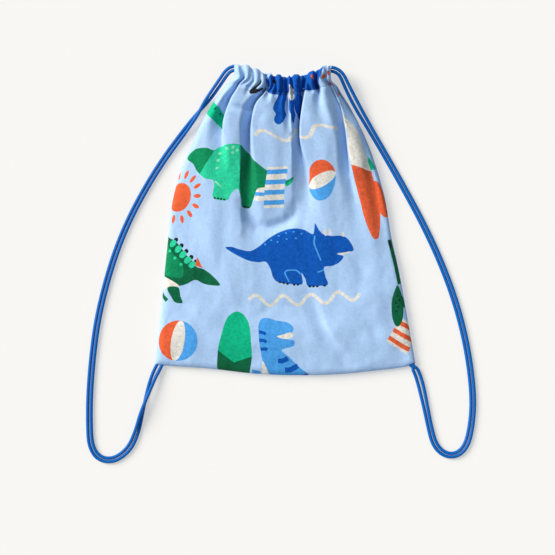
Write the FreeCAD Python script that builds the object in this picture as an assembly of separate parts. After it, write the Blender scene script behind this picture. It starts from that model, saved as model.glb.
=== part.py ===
import FreeCAD, Part

import math
import os

V = FreeCAD.Vector

# A child's drawstring backpack in thick towelling, lying flat on its back.
# +X is to the right of the front panel, +Y points to the mouth, +Z is up out of the
# front panel. The origin is under the middle of the bag, on the surface it lies on.
# Millimetres throughout.

# ---------------------------------------------------------------- driving dimensions

CORD_DIAMETER = 4.3
CORD_RADIUS = CORD_DIAMETER / 2
CORD_REST_Z = CORD_RADIUS       # height of a strand's centre on the floor
CROSSING_Z = 10.75              # height of the upper strand where two strands cross

PANEL_THICKNESS = 2.5           # one ply of towelling
SEAM_WIDTH = 2.6                # how far the closed edge of the front ply reaches inward
CASING_DEPTH = 25.0             # the band along the mouth that the cords run through
CASING_HALF_SPAN = 36.0         # the facings stop short of the side openings
FACING_THICKNESS = 2.0
SLIT_LOW_Z = 10.3               # the mouth is a slit between the two facings
SLIT_HIGH_Z = 16.3
BACK_PLY_TOP_Z = PANEL_THICKNESS
FRONT_PLY_UNDER_Z = 24.1

STITCH_WIDTH = 1.2
STITCH_HEIGHT = 0.35
ALLOWANCE_INNER = 11.0          # seam allowance, measured in from the outline
ALLOWANCE_OUTER = 4.6
ALLOWANCE_LOW_Z = 2.6
ALLOWANCE_HIGH_Z = 4.8

FRONT_TUNNEL_Z = 21.2
BACK_TUNNEL_Z = 5.4
U_TURN_Z = (FRONT_TUNNEL_Z + BACK_TUNNEL_Z) / 2

TAIL_Z = 4.75                   # cord ends sewn into the bottom corners
TAIL_CLEARANCE = 0.1

# Outline of the bag: the side edges by height, the top and bottom edges by width.
LEFT_EDGE = [(-186, -165), (-154, -161), (-102, -155.5), (-58, -151.5), (-25, -148),
             (31, -141), (70, -129), (102, -115), (138, -97), (150, -88), (160, -76),
             (172, -64), (184, -60), (198, -58)]
RIGHT_EDGE = [(-186, 165), (-154, 161), (-102, 152), (-58, 144), (-25, 136.5),
              (31, 127), (70, 116), (102, 104.5), (138, 86), (150, 79), (160, 70),
              (172, 61), (184, 57), (198, 56)]
BOTTOM_EDGE = [(-165, -184.5), (-86, -190), (-43, -195), (0, -197.3), (20, -197.5),
               (43, -197.3), (85, -195.5), (157, -185.5), (165, -181.5)]
TOP_EDGE = [(-63, 197.2), (-50, 197.5), (-40, 195), (-28, 188.5), (-12, 183.8),
            (6, 182.5), (20, 184.5), (34, 188.5), (44, 194), (50, 195.7), (61, 195.3)]

# How far in from the edge each grid line of the front ply lies, and its height there.
OUTER_INSETS = [0, 0, 2, 8, 22, 50]
INNER_INSETS = [SEAM_WIDTH, SEAM_WIDTH, 3.4, 8, 22, 50]
BODY_OUTER = [2.5, 4.2, 7.0, 10.2, 14.5, 18.5, 20.0]
BODY_INNER = [2.5, 4.2, 5.4, 7.9, 12.1, 16.0, 17.5]
SHOULDER_OUTER = [2.5, 4.2, 7.5, 11.5, 16.5, 20.5, 21.5]
SHOULDER_INNER = [2.5, 4.2, 5.6, 9.0, 14.0, 18.0, 19.0]
NECK_OUTER = [2.5, 4.2, 8.0, 14.0, 20.5, 24.0, 24.5]
NECK_INNER = [2.5, 4.2, 6.0, 11.5, 18.0, 21.5, 22.0]
STITCH_OUTER = [2.5, 4.2, 8.0, 18.0, 26.5, 26.5, 26.5]
STITCH_INNER = [2.5, 4.2, 6.0, 15.5, FRONT_PLY_UNDER_Z, FRONT_PLY_UNDER_Z, FRONT_PLY_UNDER_Z]
CASING_OUTER = [19.2, 20.6, 22.5, 26.5, 28.0, 28.0, 28.0]
CASING_INNER = [19.2, 19.8, 20.6, FRONT_PLY_UNDER_Z, FRONT_PLY_UNDER_Z,
                FRONT_PLY_UNDER_Z, FRONT_PLY_UNDER_Z]
BACK_FLAT_LOW = [0.0] * 7
BACK_FLAT_HIGH = [PANEL_THICKNESS] * 7
BACK_CASING_LOW = [8.5, 8.2, 7.4, 2.0, 0.0, 0.0, 0.0]
BACK_CASING_HIGH = [11.0, 10.8, 10.2, 4.5, PANEL_THICKNESS, PANEL_THICKNESS, PANEL_THICKNESS]

# Each cord is doubled. The middle of the pair is listed from the top side opening, round
# the loop at the bottom, to the bottom corner:
# x, y, height of the front strand, height of the back strand, half the strands' spacing
# (positive while the front strand is on the outer side).
LEFT_PAIR = [
    (-63.7, 193.8, 15.0, 15.0, 2.6),
    (-73.5, 190.3, 14.6, 13.6, 2.5),
    (-83.5, 176.0, 13.3, 10.0, 2.4),
    (-95.5, 158.0, 11.6, 5.4, 2.3),
    (-102.5, 147.5, CROSSING_Z, 2.8, 1.3),
    (-111.2, 134.2, CROSSING_Z, CORD_REST_Z, -1.3),
    (-127.0, 113.0, 5.0, CORD_REST_Z, -2.3),
    (-150.5, 81.5, CORD_REST_Z, CORD_REST_Z, -2.3),
    (-172.0, 48.5, CORD_REST_Z, CORD_REST_Z, -2.3),
    (-195.5, 5.5, CORD_REST_Z, CORD_REST_Z, -2.3),
    (-213.5, -37.0, CORD_REST_Z, CORD_REST_Z, -2.3),
    (-227.5, -82.0, CORD_REST_Z, CORD_REST_Z, -2.3),
    (-238.5, -129.0, CORD_REST_Z, CORD_REST_Z, -2.3),
    (-244.8, -178.0, CORD_REST_Z, CORD_REST_Z, -2.3),
    (-248.2, -224.0, CORD_REST_Z, CORD_REST_Z, -2.3),
    (-248.4, -262.0, CORD_REST_Z, CORD_REST_Z, -2.3),
    (-246.8, -288.0, CORD_REST_Z, CORD_REST_Z, -2.5),
    (-236.5, -304.0, CORD_REST_Z, CORD_REST_Z, -2.5),
    (-217.0, -306.5, CORD_REST_Z, CORD_REST_Z, -2.5),
    (-197.5, -292.0, CORD_REST_Z, CORD_REST_Z, -2.5),
    (-187.5, -269.5, 5.0, CORD_REST_Z, -2.3),
    (-181.8, -246.0, CROSSING_Z, CORD_REST_Z, -1.3),
    (-174.8, -222.5, CROSSING_Z, CORD_REST_Z, 1.3),
    (-167.2, -201.0, 6.0, 3.0, 2.7),
    (-161.3, -188.8, 4.0, 4.0, 3.1),
]
RIGHT_PAIR = [
    (59.0, 194.2, 15.0, 15.0, 2.4),
    (68.8, 191.0, 14.6, 14.2, 2.4),
    (74.6, 184.8, 13.8, 12.8, 2.5),
    (79.5, 172.5, 11.8, 10.0, 2.8),
    (91.0, 148.5, 7.6, 5.6, 3.2),
    (107.0, 119.5, 3.6, 2.8, 2.4),
    (128.5, 82.0, CORD_REST_Z, CORD_REST_Z, 2.3),
    (153.0, 38.5, CORD_REST_Z, CORD_REST_Z, 2.3),
    (177.5, -7.0, CORD_REST_Z, CORD_REST_Z, 2.3),
    (199.0, -53.5, CORD_REST_Z, CORD_REST_Z, 2.3),
    (217.0, -101.5, CORD_REST_Z, CORD_REST_Z, 2.3),
    (229.5, -148.5, CORD_REST_Z, CORD_REST_Z, 2.3),
    (237.0, -192.0, CORD_REST_Z, CORD_REST_Z, 2.3),
    (240.3, -232.0, CORD_REST_Z, CORD_REST_Z, 2.3),
    (237.8, -262.0, CORD_REST_Z, CORD_REST_Z, 2.3),
    (232.3, -286.5, CORD_REST_Z, CORD_REST_Z, 2.5),
    (220.0, -299.5, CORD_REST_Z, CORD_REST_Z, 2.5),
    (203.5, -299.0, CORD_REST_Z, CORD_REST_Z, 2.5),
    (190.5, -286.0, CORD_REST_Z, CORD_REST_Z, 2.5),
    (184.5, -262.0, CORD_REST_Z, CORD_REST_Z, 2.3),
    (180.3, -241.0, CORD_REST_Z, CORD_REST_Z, 2.4),
    (175.2, -217.5, CORD_REST_Z, CORD_REST_Z, 2.6),
    (170.8, -200.0, 2.8, 2.8, 2.8),
    (164.2, -188.3, 4.0, 4.0, 2.7),
]

# Each cord's run inside the casing: out along the front tunnel, a turn at the far side
# opening, and back along the back tunnel to the opening it came from.
LEFT_CHANNEL = [
    (-60.2, 196.4, 15.4), (-54.2, 194.6, 16.8), (-45.0, 189.6, 20.6),
    (-26.0, 180.6, FRONT_TUNNEL_Z), (6.0, 175.8, FRONT_TUNNEL_Z), (27.0, 180.0, FRONT_TUNNEL_Z),
    (38.5, 184.6, FRONT_TUNNEL_Z), (43.1, 186.0, U_TURN_Z), (38.5, 184.6, BACK_TUNNEL_Z),
    (27.0, 180.0, BACK_TUNNEL_Z), (6.0, 175.8, BACK_TUNNEL_Z), (-26.0, 180.6, BACK_TUNNEL_Z),
    (-45.0, 189.2, 6.4), (-52.6, 191.4, 11.6), (-58.2, 192.2, 14.0),
]
RIGHT_CHANNEL = [
    (54.7, 195.0, 15.6), (49.6, 189.4, 17.0), (42.5, 180.4, 20.8),
    (28.0, 173.8, FRONT_TUNNEL_Z), (6.0, 169.7, FRONT_TUNNEL_Z), (-22.0, 174.0, FRONT_TUNNEL_Z),
    (-38.5, 180.6, FRONT_TUNNEL_Z), (-43.1, 182.4, U_TURN_Z), (-38.5, 180.6, BACK_TUNNEL_Z),
    (-22.0, 174.0, BACK_TUNNEL_Z), (6.0, 169.7, BACK_TUNNEL_Z), (28.0, 173.8, BACK_TUNNEL_Z),
    (42.0, 179.6, 6.2), (48.4, 184.6, 11.4), (53.8, 189.6, 13.9),
]

# The cords' sewn ends at the bottom corners: start at the edge, end inside.
LEFT_TAILS = {
    "left_cord_front_tail": [(-156.9, -186.8, TAIL_Z), (-150.3, -173.6, TAIL_Z)],
    "left_cord_back_tail": [(-162.4, -184.8, TAIL_Z), (-156.0, -171.4, TAIL_Z)],
}
RIGHT_TAILS = {
    "right_cord_front_tail": [(165.0, -183.4, TAIL_Z), (157.4, -171.4, TAIL_Z)],
    "right_cord_back_tail": [(160.2, -186.2, TAIL_Z), (152.7, -174.2, TAIL_Z)],
}


# ---------------------------------------------------------------- curves and solids


def along(points, value):
    """Straight-line value between the listed (position, value) points."""
    if value <= points[0][0]:
        return float(points[0][1])
    for (a, low), (b, high) in zip(points, points[1:]):
        if value <= b:
            return low + (high - low) * (value - a) / (b - a)
    return float(points[-1][1])


def closed_solid(vertices, triangles):
    """A solid with flat triangular faces."""
    shell = Part.Shape()
    shell.makeShapeFromMesh((vertices, triangles), 0.001)
    solid = Part.Solid(Part.Shell(shell.Faces))
    if solid.Volume < 0:
        solid.reverse()
    return solid


def sheet_solid(outer, inner):
    """A closed solid between two grids of points with the same rows and columns."""
    rows = len(outer)
    columns = len(outer[0])
    places = {}
    vertices = []

    def corner(point):
        key = tuple(round(value, 3) for value in point)
        if key not in places:
            places[key] = len(vertices)
            vertices.append(V(*key))
        return places[key]

    triangles = []

    def quad(a, b, c, d):
        for three in ((a, b, c), (a, c, d)):
            marks = [corner(point) for point in three]
            if len(set(marks)) == 3:
                triangles.append(tuple(marks))

    for r in range(rows - 1):
        for c in range(columns - 1):
            quad(outer[r][c], outer[r][c + 1], outer[r + 1][c + 1], outer[r + 1][c])
            quad(inner[r][c], inner[r + 1][c], inner[r + 1][c + 1], inner[r][c + 1])
    for c in range(columns - 1):
        quad(outer[0][c], inner[0][c], inner[0][c + 1], outer[0][c + 1])
        quad(outer[-1][c], outer[-1][c + 1], inner[-1][c + 1], inner[-1][c])
    for r in range(rows - 1):
        quad(outer[r][0], outer[r + 1][0], inner[r + 1][0], inner[r][0])
        quad(outer[r][-1], inner[r][-1], inner[r + 1][-1], outer[r + 1][-1])
    return closed_solid(vertices, triangles)


def channel_solid(sections):
    """A long C-shaped solid: eight-cornered sections, one after another."""
    vertices = []
    triangles = []
    corners = 8
    for section in sections:
        vertices.extend(V(*point) for point in section)
    for s in range(len(sections) - 1):
        low = s * corners
        high = low + corners
        for k in range(corners):
            n = (k + 1) % corners
            triangles.append((low + k, low + n, high + n))
            triangles.append((low + k, high + n, high + k))
    cap = ((0, 5, 6), (0, 6, 7), (0, 1, 4), (0, 4, 5), (1, 2, 3), (1, 3, 4))
    last = (len(sections) - 1) * corners
    for a, b, c in cap:
        triangles.append((c, b, a))
        triangles.append((last + a, last + b, last + c))
    return closed_solid(vertices, triangles)


def tube_path(points):
    """Straight runs joined by the largest tangent arcs that they allow."""
    points = [V(*point) for point in points]
    edges = []
    radii = []
    start = points[0]
    for before, point, after in zip(points, points[1:], points[2:]):
        back = before - point
        ahead = after - point
        cut = 0.45 * min(back.Length, ahead.Length)
        back.normalize()
        ahead.normalize()
        half_turn = (math.pi - back.getAngle(ahead)) / 2
        radius = cut / math.tan(half_turn)
        toward = back + ahead
        toward.normalize()
        arc_in = point + back * cut
        arc_out = point + ahead * cut
        arc_middle = point + toward * (radius / math.cos(half_turn) - radius)
        edges.append(Part.LineSegment(start, arc_in).toShape())
        edges.append(Part.Arc(arc_in, arc_middle, arc_out).toShape())
        radii.append(radius)
        start = arc_out
    edges.append(Part.LineSegment(start, points[-1]).toShape())
    return Part.Wire(edges), radii


def cord_tube(name, points, radius=CORD_RADIUS):
    """A round cord along its route."""
    path, radii = tube_path(points)
    first = V(*points[0])
    heading = V(*points[1]) - first
    section = Part.Wire([Part.makeCircle(radius, first, heading)])
    if radii:
        solid = path.makePipeShell([section], True, False)
        solid = Part.Solid(solid.Shells[0]) if solid.ShapeType != "Solid" else solid
    else:
        solid = Part.makeCylinder(radius, heading.Length, first, heading)
    if solid.Volume < 0:
        solid.reverse()
    ideal = math.pi * radius ** 2 * path.Length
    runs = [(V(*b) - V(*a)).Length for a, b in zip(points, points[1:])]
    print(f"{name}: length {path.Length:.1f}, volume/ideal {solid.Volume / ideal:.4f}, "
          f"smallest radius {min(radii, default=0):.1f}, longest run {max(runs):.1f}")
    print("   radii", " ".join(f"{value:.0f}" for value in radii))
    return solid


# ---------------------------------------------------------------- the bag's cloth


def outline_point(y_nominal, from_bottom, top_drop, column, columns, insets):
    """Plan position of one grid point of a panel."""
    left = along(LEFT_EDGE, y_nominal)
    right = along(RIGHT_EDGE, y_nominal)
    count = len(insets)
    if column < count:
        x = left + insets[column]
    elif column >= columns - count:
        x = right - insets[columns - 1 - column]
    else:
        low = left + insets[-1]
        high = right - insets[-1]
        x = low + (high - low) * (column - count + 1) / (columns - 2 * count + 1)
    if from_bottom is not None:
        y = along(BOTTOM_EDGE, x) + from_bottom
    elif top_drop is not None:
        y = along(TOP_EDGE, x) - top_drop
    else:
        y = y_nominal
    return x, y


def panel_grid(insets, body, shoulder, neck, stitch, casing):
    """Rows of points of one face of a panel, from the bottom edge to the mouth."""
    middle_columns = 6
    count = len(insets)
    columns = 2 * count + middle_columns
    rows = []

    def height(profile, column):
        return profile[min(column, columns - 1 - column, count)]

    for k, inset in enumerate(insets):
        row = []
        for column in range(columns):
            x, y = outline_point(-186 + inset, inset, None, column, columns, insets)
            row.append((x, y, min(height(body, column), body[k])))
        rows.append(row)
    for y_station, profile in ((-102, body), (-25, body), (31, body), (70, shoulder),
                               (102, shoulder), (138, neck)):
        row = []
        for column in range(columns):
            x, y = outline_point(y_station, None, None, column, columns, insets)
            row.append((x, y, height(profile, column)))
        rows.append(row)
    for y_nominal, drop, profile in ((172, CASING_DEPTH, stitch), (184, CASING_DEPTH / 2, casing),
                                     (197, 0, casing)):
        row = []
        for column in range(columns):
            x, y = outline_point(y_nominal, None, drop, column, columns, insets)
            row.append((x, y, height(profile, column)))
        rows.append(row)
    return rows


def front_panel():
    """The front ply, with its bulky closed edge resting on the back ply."""
    outer = panel_grid(OUTER_INSETS, BODY_OUTER, SHOULDER_OUTER, NECK_OUTER, STITCH_OUTER,
                       CASING_OUTER)
    inner = panel_grid(INNER_INSETS, BODY_INNER, SHOULDER_INNER, NECK_INNER, STITCH_INNER,
                       CASING_INNER)
    solid = sheet_solid(outer, inner)
    for tail in list(LEFT_TAILS.values()) + list(RIGHT_TAILS.values()):
        solid = solid.cut(tail_slot(tail))
    return solid.Solids[0]


def tail_slot(tail):
    """A square way through the closed edge for one sewn cord end."""
    start = V(*tail[0])
    heading = V(*tail[1]) - start
    length = heading.Length
    heading.normalize()
    half = CORD_RADIUS + TAIL_CLEARANCE
    across = V(-heading.y, heading.x, 0) * half
    down = V(0, 0, -half - 0.5)
    near = start - heading * 5 + down
    far = start + heading * (length + 1) + down
    floor = Part.makePolygon([near - across, near + across, far + across, far - across,
                              near - across])
    return Part.Face(floor).extrude(V(0, 0, 2 * half + 0.5))


def back_panel():
    """The back ply, flat on the floor and lifting at the side openings."""
    insets = [0, 0.8, 2, 8, 22, 50]
    low = panel_grid(insets, BACK_FLAT_LOW, BACK_FLAT_LOW, BACK_FLAT_LOW, BACK_FLAT_LOW,
                     BACK_CASING_LOW)
    high = panel_grid(insets, BACK_FLAT_HIGH, BACK_FLAT_HIGH, BACK_FLAT_HIGH, BACK_FLAT_HIGH,
                      BACK_CASING_HIGH)
    return sheet_solid(low, high)


def facing(plate_low, plate_high, ply_z):
    """The turned-in facing of the casing: a plate with a lip at each long edge, up to the ply."""
    stations = [-CASING_HALF_SPAN, -28, -12, 6, 20, 34, CASING_HALF_SPAN]
    near_ply = plate_high if ply_z > plate_high else plate_low
    far_side = plate_low if ply_z > plate_high else plate_high
    sections = []
    for x in stations:
        top = along(TOP_EDGE, x) - 0.4
        bottom = top - CASING_DEPTH + 0.8
        lip = FACING_THICKNESS
        sections.append([
            (x, bottom, far_side), (x, top, far_side), (x, top, ply_z),
            (x, top - lip, ply_z), (x, top - lip, near_ply), (x, bottom + lip, near_ply),
            (x, bottom + lip, ply_z), (x, bottom, ply_z)])
    return channel_solid(sections)


def casing_stitching(z_at_line, rise):
    """The row of stitches that closes the casing, standing a little proud of the cloth."""
    low = []
    high = []
    for x in (-CASING_HALF_SPAN, -28, -12, 6, 20, 34, CASING_HALF_SPAN):
        line = along(TOP_EDGE, x) - CASING_DEPTH + 1.6
        low.append([(x, line - STITCH_WIDTH / 2, z_at_line),
                    (x, line + STITCH_WIDTH / 2, z_at_line + rise)])
        high.append([(x, line - STITCH_WIDTH / 2, z_at_line + STITCH_HEIGHT),
                     (x, line + STITCH_WIDTH / 2, z_at_line + rise + STITCH_HEIGHT)])
    return sheet_solid(low, high)


def side_allowance(edge, sign):
    """The folded seam allowance inside one side seam."""
    low = []
    high = []
    for y in (-154, -102, -58, -25, 31, 70, 102, 134):
        x = along(edge, y)
        outer = x - sign * ALLOWANCE_OUTER
        inner = x - sign * ALLOWANCE_INNER
        low.append([(outer, y, ALLOWANCE_LOW_Z), (inner, y, ALLOWANCE_LOW_Z)])
        high.append([(outer, y, ALLOWANCE_HIGH_Z), (inner, y, ALLOWANCE_HIGH_Z)])
    return sheet_solid(low, high)


def bottom_allowance():
    """The folded seam allowance inside the bottom seam."""
    low = []
    high = []
    for x in (-138, -86, -43, 0, 20, 43, 85, 138):
        y = along(BOTTOM_EDGE, x)
        low.append([(x, y + ALLOWANCE_OUTER, ALLOWANCE_LOW_Z),
                    (x, y + ALLOWANCE_INNER, ALLOWANCE_LOW_Z)])
        high.append([(x, y + ALLOWANCE_OUTER, ALLOWANCE_HIGH_Z),
                     (x, y + ALLOWANCE_INNER, ALLOWANCE_HIGH_Z)])
    return sheet_solid(low, high)


def opening_hem(edge, sign, front):
    """The narrow hem along one ply at a side opening, on the ply's inner face."""
    rows_low = []
    rows_high = []
    for y in (186.0, 194.0):
        x = along(edge, y)
        low = []
        high = []
        for inset in (3.6, 7.6):
            if front:
                ply = 20.6 + (FRONT_PLY_UNDER_Z - 20.6) * (inset - 3.4) / (8 - 3.4)
                low.append((x - sign * inset, y, ply - 1.1))
                high.append((x - sign * inset, y, ply - 0.1))
            else:
                ply = 10.2 + (4.5 - 10.2) * (inset - 2.0) / (8 - 2.0)
                low.append((x - sign * inset, y, ply + 0.15))
                high.append((x - sign * inset, y, ply + 0.95))
        rows_low.append(low)
        rows_high.append(high)
    return sheet_solid(rows_low, rows_high)


def corner_bartack(x_centre):
    """Dense stitching across the two sewn cord ends."""
    return Part.makeBox(9.0, 3.4, 0.3, V(x_centre - 4.5, -177.8, 6.95))


def care_label():
    """A small blank label standing out of the left seam allowance, flat on the back ply."""
    return Part.makeBox(27.0, 22.0, 0.5, V(-138.0, -62.0, 2.55))


# ---------------------------------------------------------------- the cords


def strand(pair, outward, which):
    """One strand of a doubled cord: its points stand off the pair's middle line."""
    points = []
    for k, (x, y, front_z, back_z, gap) in enumerate(pair):
        before = pair[max(k - 1, 0)]
        after = pair[min(k + 1, len(pair) - 1)]
        heading = V(after[0] - before[0], after[1] - before[1], 0)
        heading.normalize()
        off = V(heading.y, -heading.x, 0) * (outward * which * gap)
        z = front_z if which > 0 else back_z
        points.append((x + off.x, y + off.y, z))
    return points


FRONT = 1
BACK = -1
LEFT_OUTWARD = 1
RIGHT_OUTWARD = -1


# ---------------------------------------------------------------- every sub-part


def build():
    nodes = {
        "front_panel": front_panel(),
        "back_panel": back_panel(),
        "front_casing_facing": facing(SLIT_HIGH_Z, SLIT_HIGH_Z + FACING_THICKNESS,
                                      FRONT_PLY_UNDER_Z - 0.1),
        "back_casing_facing": facing(SLIT_LOW_Z - FACING_THICKNESS, SLIT_LOW_Z,
                                     BACK_PLY_TOP_Z + 0.4),
        "front_casing_stitching": casing_stitching(26.75, 0.15),
        "back_casing_stitching": casing_stitching(SLIT_LOW_Z + 0.02, 0.0),
        "left_side_seam_allowance": side_allowance(LEFT_EDGE, -1),
        "right_side_seam_allowance": side_allowance(RIGHT_EDGE, 1),
        "bottom_seam_allowance": bottom_allowance(),
        "front_left_opening_hem": opening_hem(LEFT_EDGE, -1, True),
        "front_right_opening_hem": opening_hem(RIGHT_EDGE, 1, True),
        "back_left_opening_hem": opening_hem(LEFT_EDGE, -1, False),
        "back_right_opening_hem": opening_hem(RIGHT_EDGE, 1, False),
        "left_corner_bartack": corner_bartack(-152.4),
        "right_corner_bartack": corner_bartack(152.4),
        "care_label": care_label(),
    }
    for side, pair, outward, channel, tails in (
            ("left", LEFT_PAIR, LEFT_OUTWARD, LEFT_CHANNEL, LEFT_TAILS),
            ("right", RIGHT_PAIR, RIGHT_OUTWARD, RIGHT_CHANNEL, RIGHT_TAILS)):
        for word, which in (("front", FRONT), ("back", BACK)):
            name = f"{side}_cord_{word}_strand"
            nodes[name] = cord_tube(name, strand(pair, outward, which))
        name = f"{side}_cord_channel_run"
        nodes[name] = cord_tube(name, channel)
        for name, points in tails.items():
            nodes[name] = cord_tube(name, points)
    return nodes


def main():
    os.makedirs("parts", exist_ok=True)
    for name, shape in build().items():
        box = shape.BoundBox
        print(f"{name}: valid {shape.isValid()}, volume {shape.Volume:.0f}, "
              f"x {box.XMin:.1f}..{box.XMax:.1f}, y {box.YMin:.1f}..{box.YMax:.1f}, "
              f"z {box.ZMin:.2f}..{box.ZMax:.2f}")
        shape.exportStep(f"parts/{name}.step")


main()
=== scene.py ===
import math

import bpy
import numpy as np
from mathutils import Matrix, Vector, noise
from mathutils.geometry import delaunay_2d_cdt


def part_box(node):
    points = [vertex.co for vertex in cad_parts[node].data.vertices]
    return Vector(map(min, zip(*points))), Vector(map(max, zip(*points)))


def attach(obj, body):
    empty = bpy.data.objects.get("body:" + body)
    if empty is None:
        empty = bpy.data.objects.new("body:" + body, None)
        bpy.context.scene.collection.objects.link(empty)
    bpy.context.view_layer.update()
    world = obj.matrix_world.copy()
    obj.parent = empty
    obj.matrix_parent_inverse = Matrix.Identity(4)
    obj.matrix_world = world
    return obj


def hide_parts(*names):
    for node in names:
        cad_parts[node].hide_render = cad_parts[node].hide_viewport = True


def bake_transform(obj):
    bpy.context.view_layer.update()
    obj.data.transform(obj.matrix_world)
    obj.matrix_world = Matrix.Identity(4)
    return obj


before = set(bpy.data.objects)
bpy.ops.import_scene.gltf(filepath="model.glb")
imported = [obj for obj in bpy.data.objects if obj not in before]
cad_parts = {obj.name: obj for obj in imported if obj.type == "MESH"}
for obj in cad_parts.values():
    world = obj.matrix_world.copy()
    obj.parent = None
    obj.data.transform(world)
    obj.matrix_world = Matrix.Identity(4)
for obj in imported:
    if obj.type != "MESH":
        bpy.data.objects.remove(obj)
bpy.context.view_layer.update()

MM = 0.001

# ---------------------------------------------------------------- small helpers

UP = Vector((0, 0, 1))


def sock(node, name, value):
    """Sets the value of a node's input."""
    node.inputs[name].default_value = value


def new_object(name, data):
    """Puts a mesh, light or camera into the scene."""
    piece = bpy.data.objects.new(name, data)
    bpy.context.scene.collection.objects.link(piece)
    return piece


def srgb(r, g, b):
    """An 8-bit screen colour as a linear one."""
    out = []
    for c in (r, g, b):
        c = c / 255
        out.append(c / 12.92 if c <= 0.04045 else ((c + 0.055) / 1.055) ** 2.4)
    return tuple(out)


def new_material(name):
    """A material, its node tree and its shader."""
    material = bpy.data.materials.new(name)
    material.use_nodes = True
    tree = material.node_tree
    return material, tree, tree.nodes["Principled BSDF"]


def add_node(tree, kind, **values):
    """A new node with these values on its inputs."""
    node = tree.nodes.new(kind)
    for name, value in values.items():
        sock(node, name, value)
    return node


def math_node(tree, operation, *values):
    """The result of a sum on numbers and other nodes' outputs."""
    node = tree.nodes.new("ShaderNodeMath")
    node.operation = operation
    for slot, value in zip(node.inputs, values):
        if isinstance(value, float):
            slot.default_value = value
        else:
            tree.links.new(value, slot)
    return node.outputs[0]


def add_colours(tree, shader, source, low, high, start=0.0, stop=1.0):
    """Colours the surface from low to high as the source goes from start to stop."""
    ramp = tree.nodes.new("ShaderNodeValToRGB")
    for element, place, colour in zip(ramp.color_ramp.elements, (start, stop), (low, high)):
        element.position = place
        element.color = (*colour, 1)
    tree.links.new(source, ramp.inputs["Fac"])
    tree.links.new(ramp.outputs["Color"], shader.inputs["Base Color"])


def add_bump(tree, shader, height, strength, distance):
    """Makes the surface look raised where the height is high."""
    bump = add_node(tree, "ShaderNodeBump", Strength=strength, Distance=distance)
    tree.links.new(height, bump.inputs["Height"])
    tree.links.new(bump.outputs["Normal"], shader.inputs["Normal"])


# ---------------------------------------------------------------- camera, floor, light

VIEW_CENTRE = (-0.0089, -0.0733)
VIEW_WIDTH = 0.707
CAMERA_HEIGHT = 2.2
SENSOR = 36.0
FLOOR_HALF_SIZE = 3.0
KEY_ENERGY = 5.27
KEY_ANGLE = 34              # a wide key, in degrees, so that shadows are soft
KEY_COLOUR = (1.0, 0.905, 0.79)
KEY_DIRECTION = (0.74, -0.44, -0.52)
ROOM_COLOUR = (0.80, 0.93, 1.0)
ROOM_STRENGTH = 0.41


def make_camera():
    """A camera that looks straight down on the bag."""
    data = bpy.data.cameras.new("camera")
    data.sensor_width = SENSOR
    data.lens = SENSOR * CAMERA_HEIGHT / VIEW_WIDTH
    data.clip_start = 0.05
    data.clip_end = 20
    camera = new_object("camera", data)
    camera.location = (*VIEW_CENTRE, CAMERA_HEIGHT)
    bpy.context.scene.camera = camera


def floor_material():
    """Pale paper that glows a little, so that the shadows on it stay faint."""
    material, _, shader = new_material("floor_paper")
    sock(shader, "Base Color", (0.412, 0.419, 0.425, 1))
    sock(shader, "Roughness", 0.85)
    sock(shader, "Specular IOR Level", 0.0)
    sock(shader, "Emission Color", (1.0, 0.985, 0.965, 1))
    sock(shader, "Emission Strength", 0.45)
    return material


def make_floor():
    """The plain surface that the bag lies on."""
    reach = FLOOR_HALF_SIZE
    corners = [(-reach, -reach, 0), (reach, -reach, 0), (reach, reach, 0), (-reach, reach, 0)]
    mesh = bpy.data.meshes.new("floor")
    mesh.from_pydata(corners, [], [(0, 1, 2, 3)])
    mesh.materials.append(floor_material())
    new_object("floor", mesh)


def make_lights():
    """A wide soft key from the upper left, and an even pale room."""
    data = bpy.data.lights.new("key", "SUN")
    data.energy = KEY_ENERGY
    data.angle = math.radians(KEY_ANGLE)
    data.color = KEY_COLOUR
    light = new_object("key", data)
    light.rotation_euler = Vector(KEY_DIRECTION).to_track_quat("-Z", "Y").to_euler()
    world = bpy.data.worlds.new("soft_room")
    world.use_nodes = True
    background = world.node_tree.nodes["Background"]
    sock(background, "Color", (*ROOM_COLOUR, 1))
    sock(background, "Strength", ROOM_STRENGTH)
    bpy.context.scene.world = world
    bpy.context.scene.view_settings.view_transform = "Standard"


# ---------------------------------------------------------------- lines and tubes


def around(points, k):
    """The points before and after point k of a line. An end stands for its own missing neighbour."""
    return points[max(k - 1, 0)], points[min(k + 1, len(points) - 1)]


def smooth_line(points, per_span=8):
    """The points that a NURBS spline of order 3 with these control points runs through."""
    curve = bpy.data.curves.new("route", "CURVE")
    curve.dimensions = "3D"
    spline = curve.splines.new("NURBS")
    spline.points.add(len(points) - 1)
    for target, p in zip(spline.points, points):
        target.co = (p[0], p[1], p[2], 1)
    spline.order_u = 3
    spline.use_endpoint_u = True
    spline.resolution_u = per_span
    holder = new_object("route", curve)
    bpy.context.view_layer.update()
    mesh = bpy.data.meshes.new_from_object(holder)
    line = [v.co.copy() for v in mesh.vertices]
    bpy.data.objects.remove(holder)
    bpy.data.curves.remove(curve)
    bpy.data.meshes.remove(mesh)
    return line


def tube_faces(first, rings, sides):
    """The faces of a closed tube whose rings of points start at point number first."""
    faces = []
    for k in range(rings - 1):
        for j in range(sides):
            a = first + k * sides + j
            b = first + k * sides + (j + 1) % sides
            faces.append((a, b, b + sides, a + sides))
    last = first + (rings - 1) * sides
    faces.append(tuple(range(first + sides - 1, first - 1, -1)))
    faces.append(tuple(range(last, last + sides)))
    return faces


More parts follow.
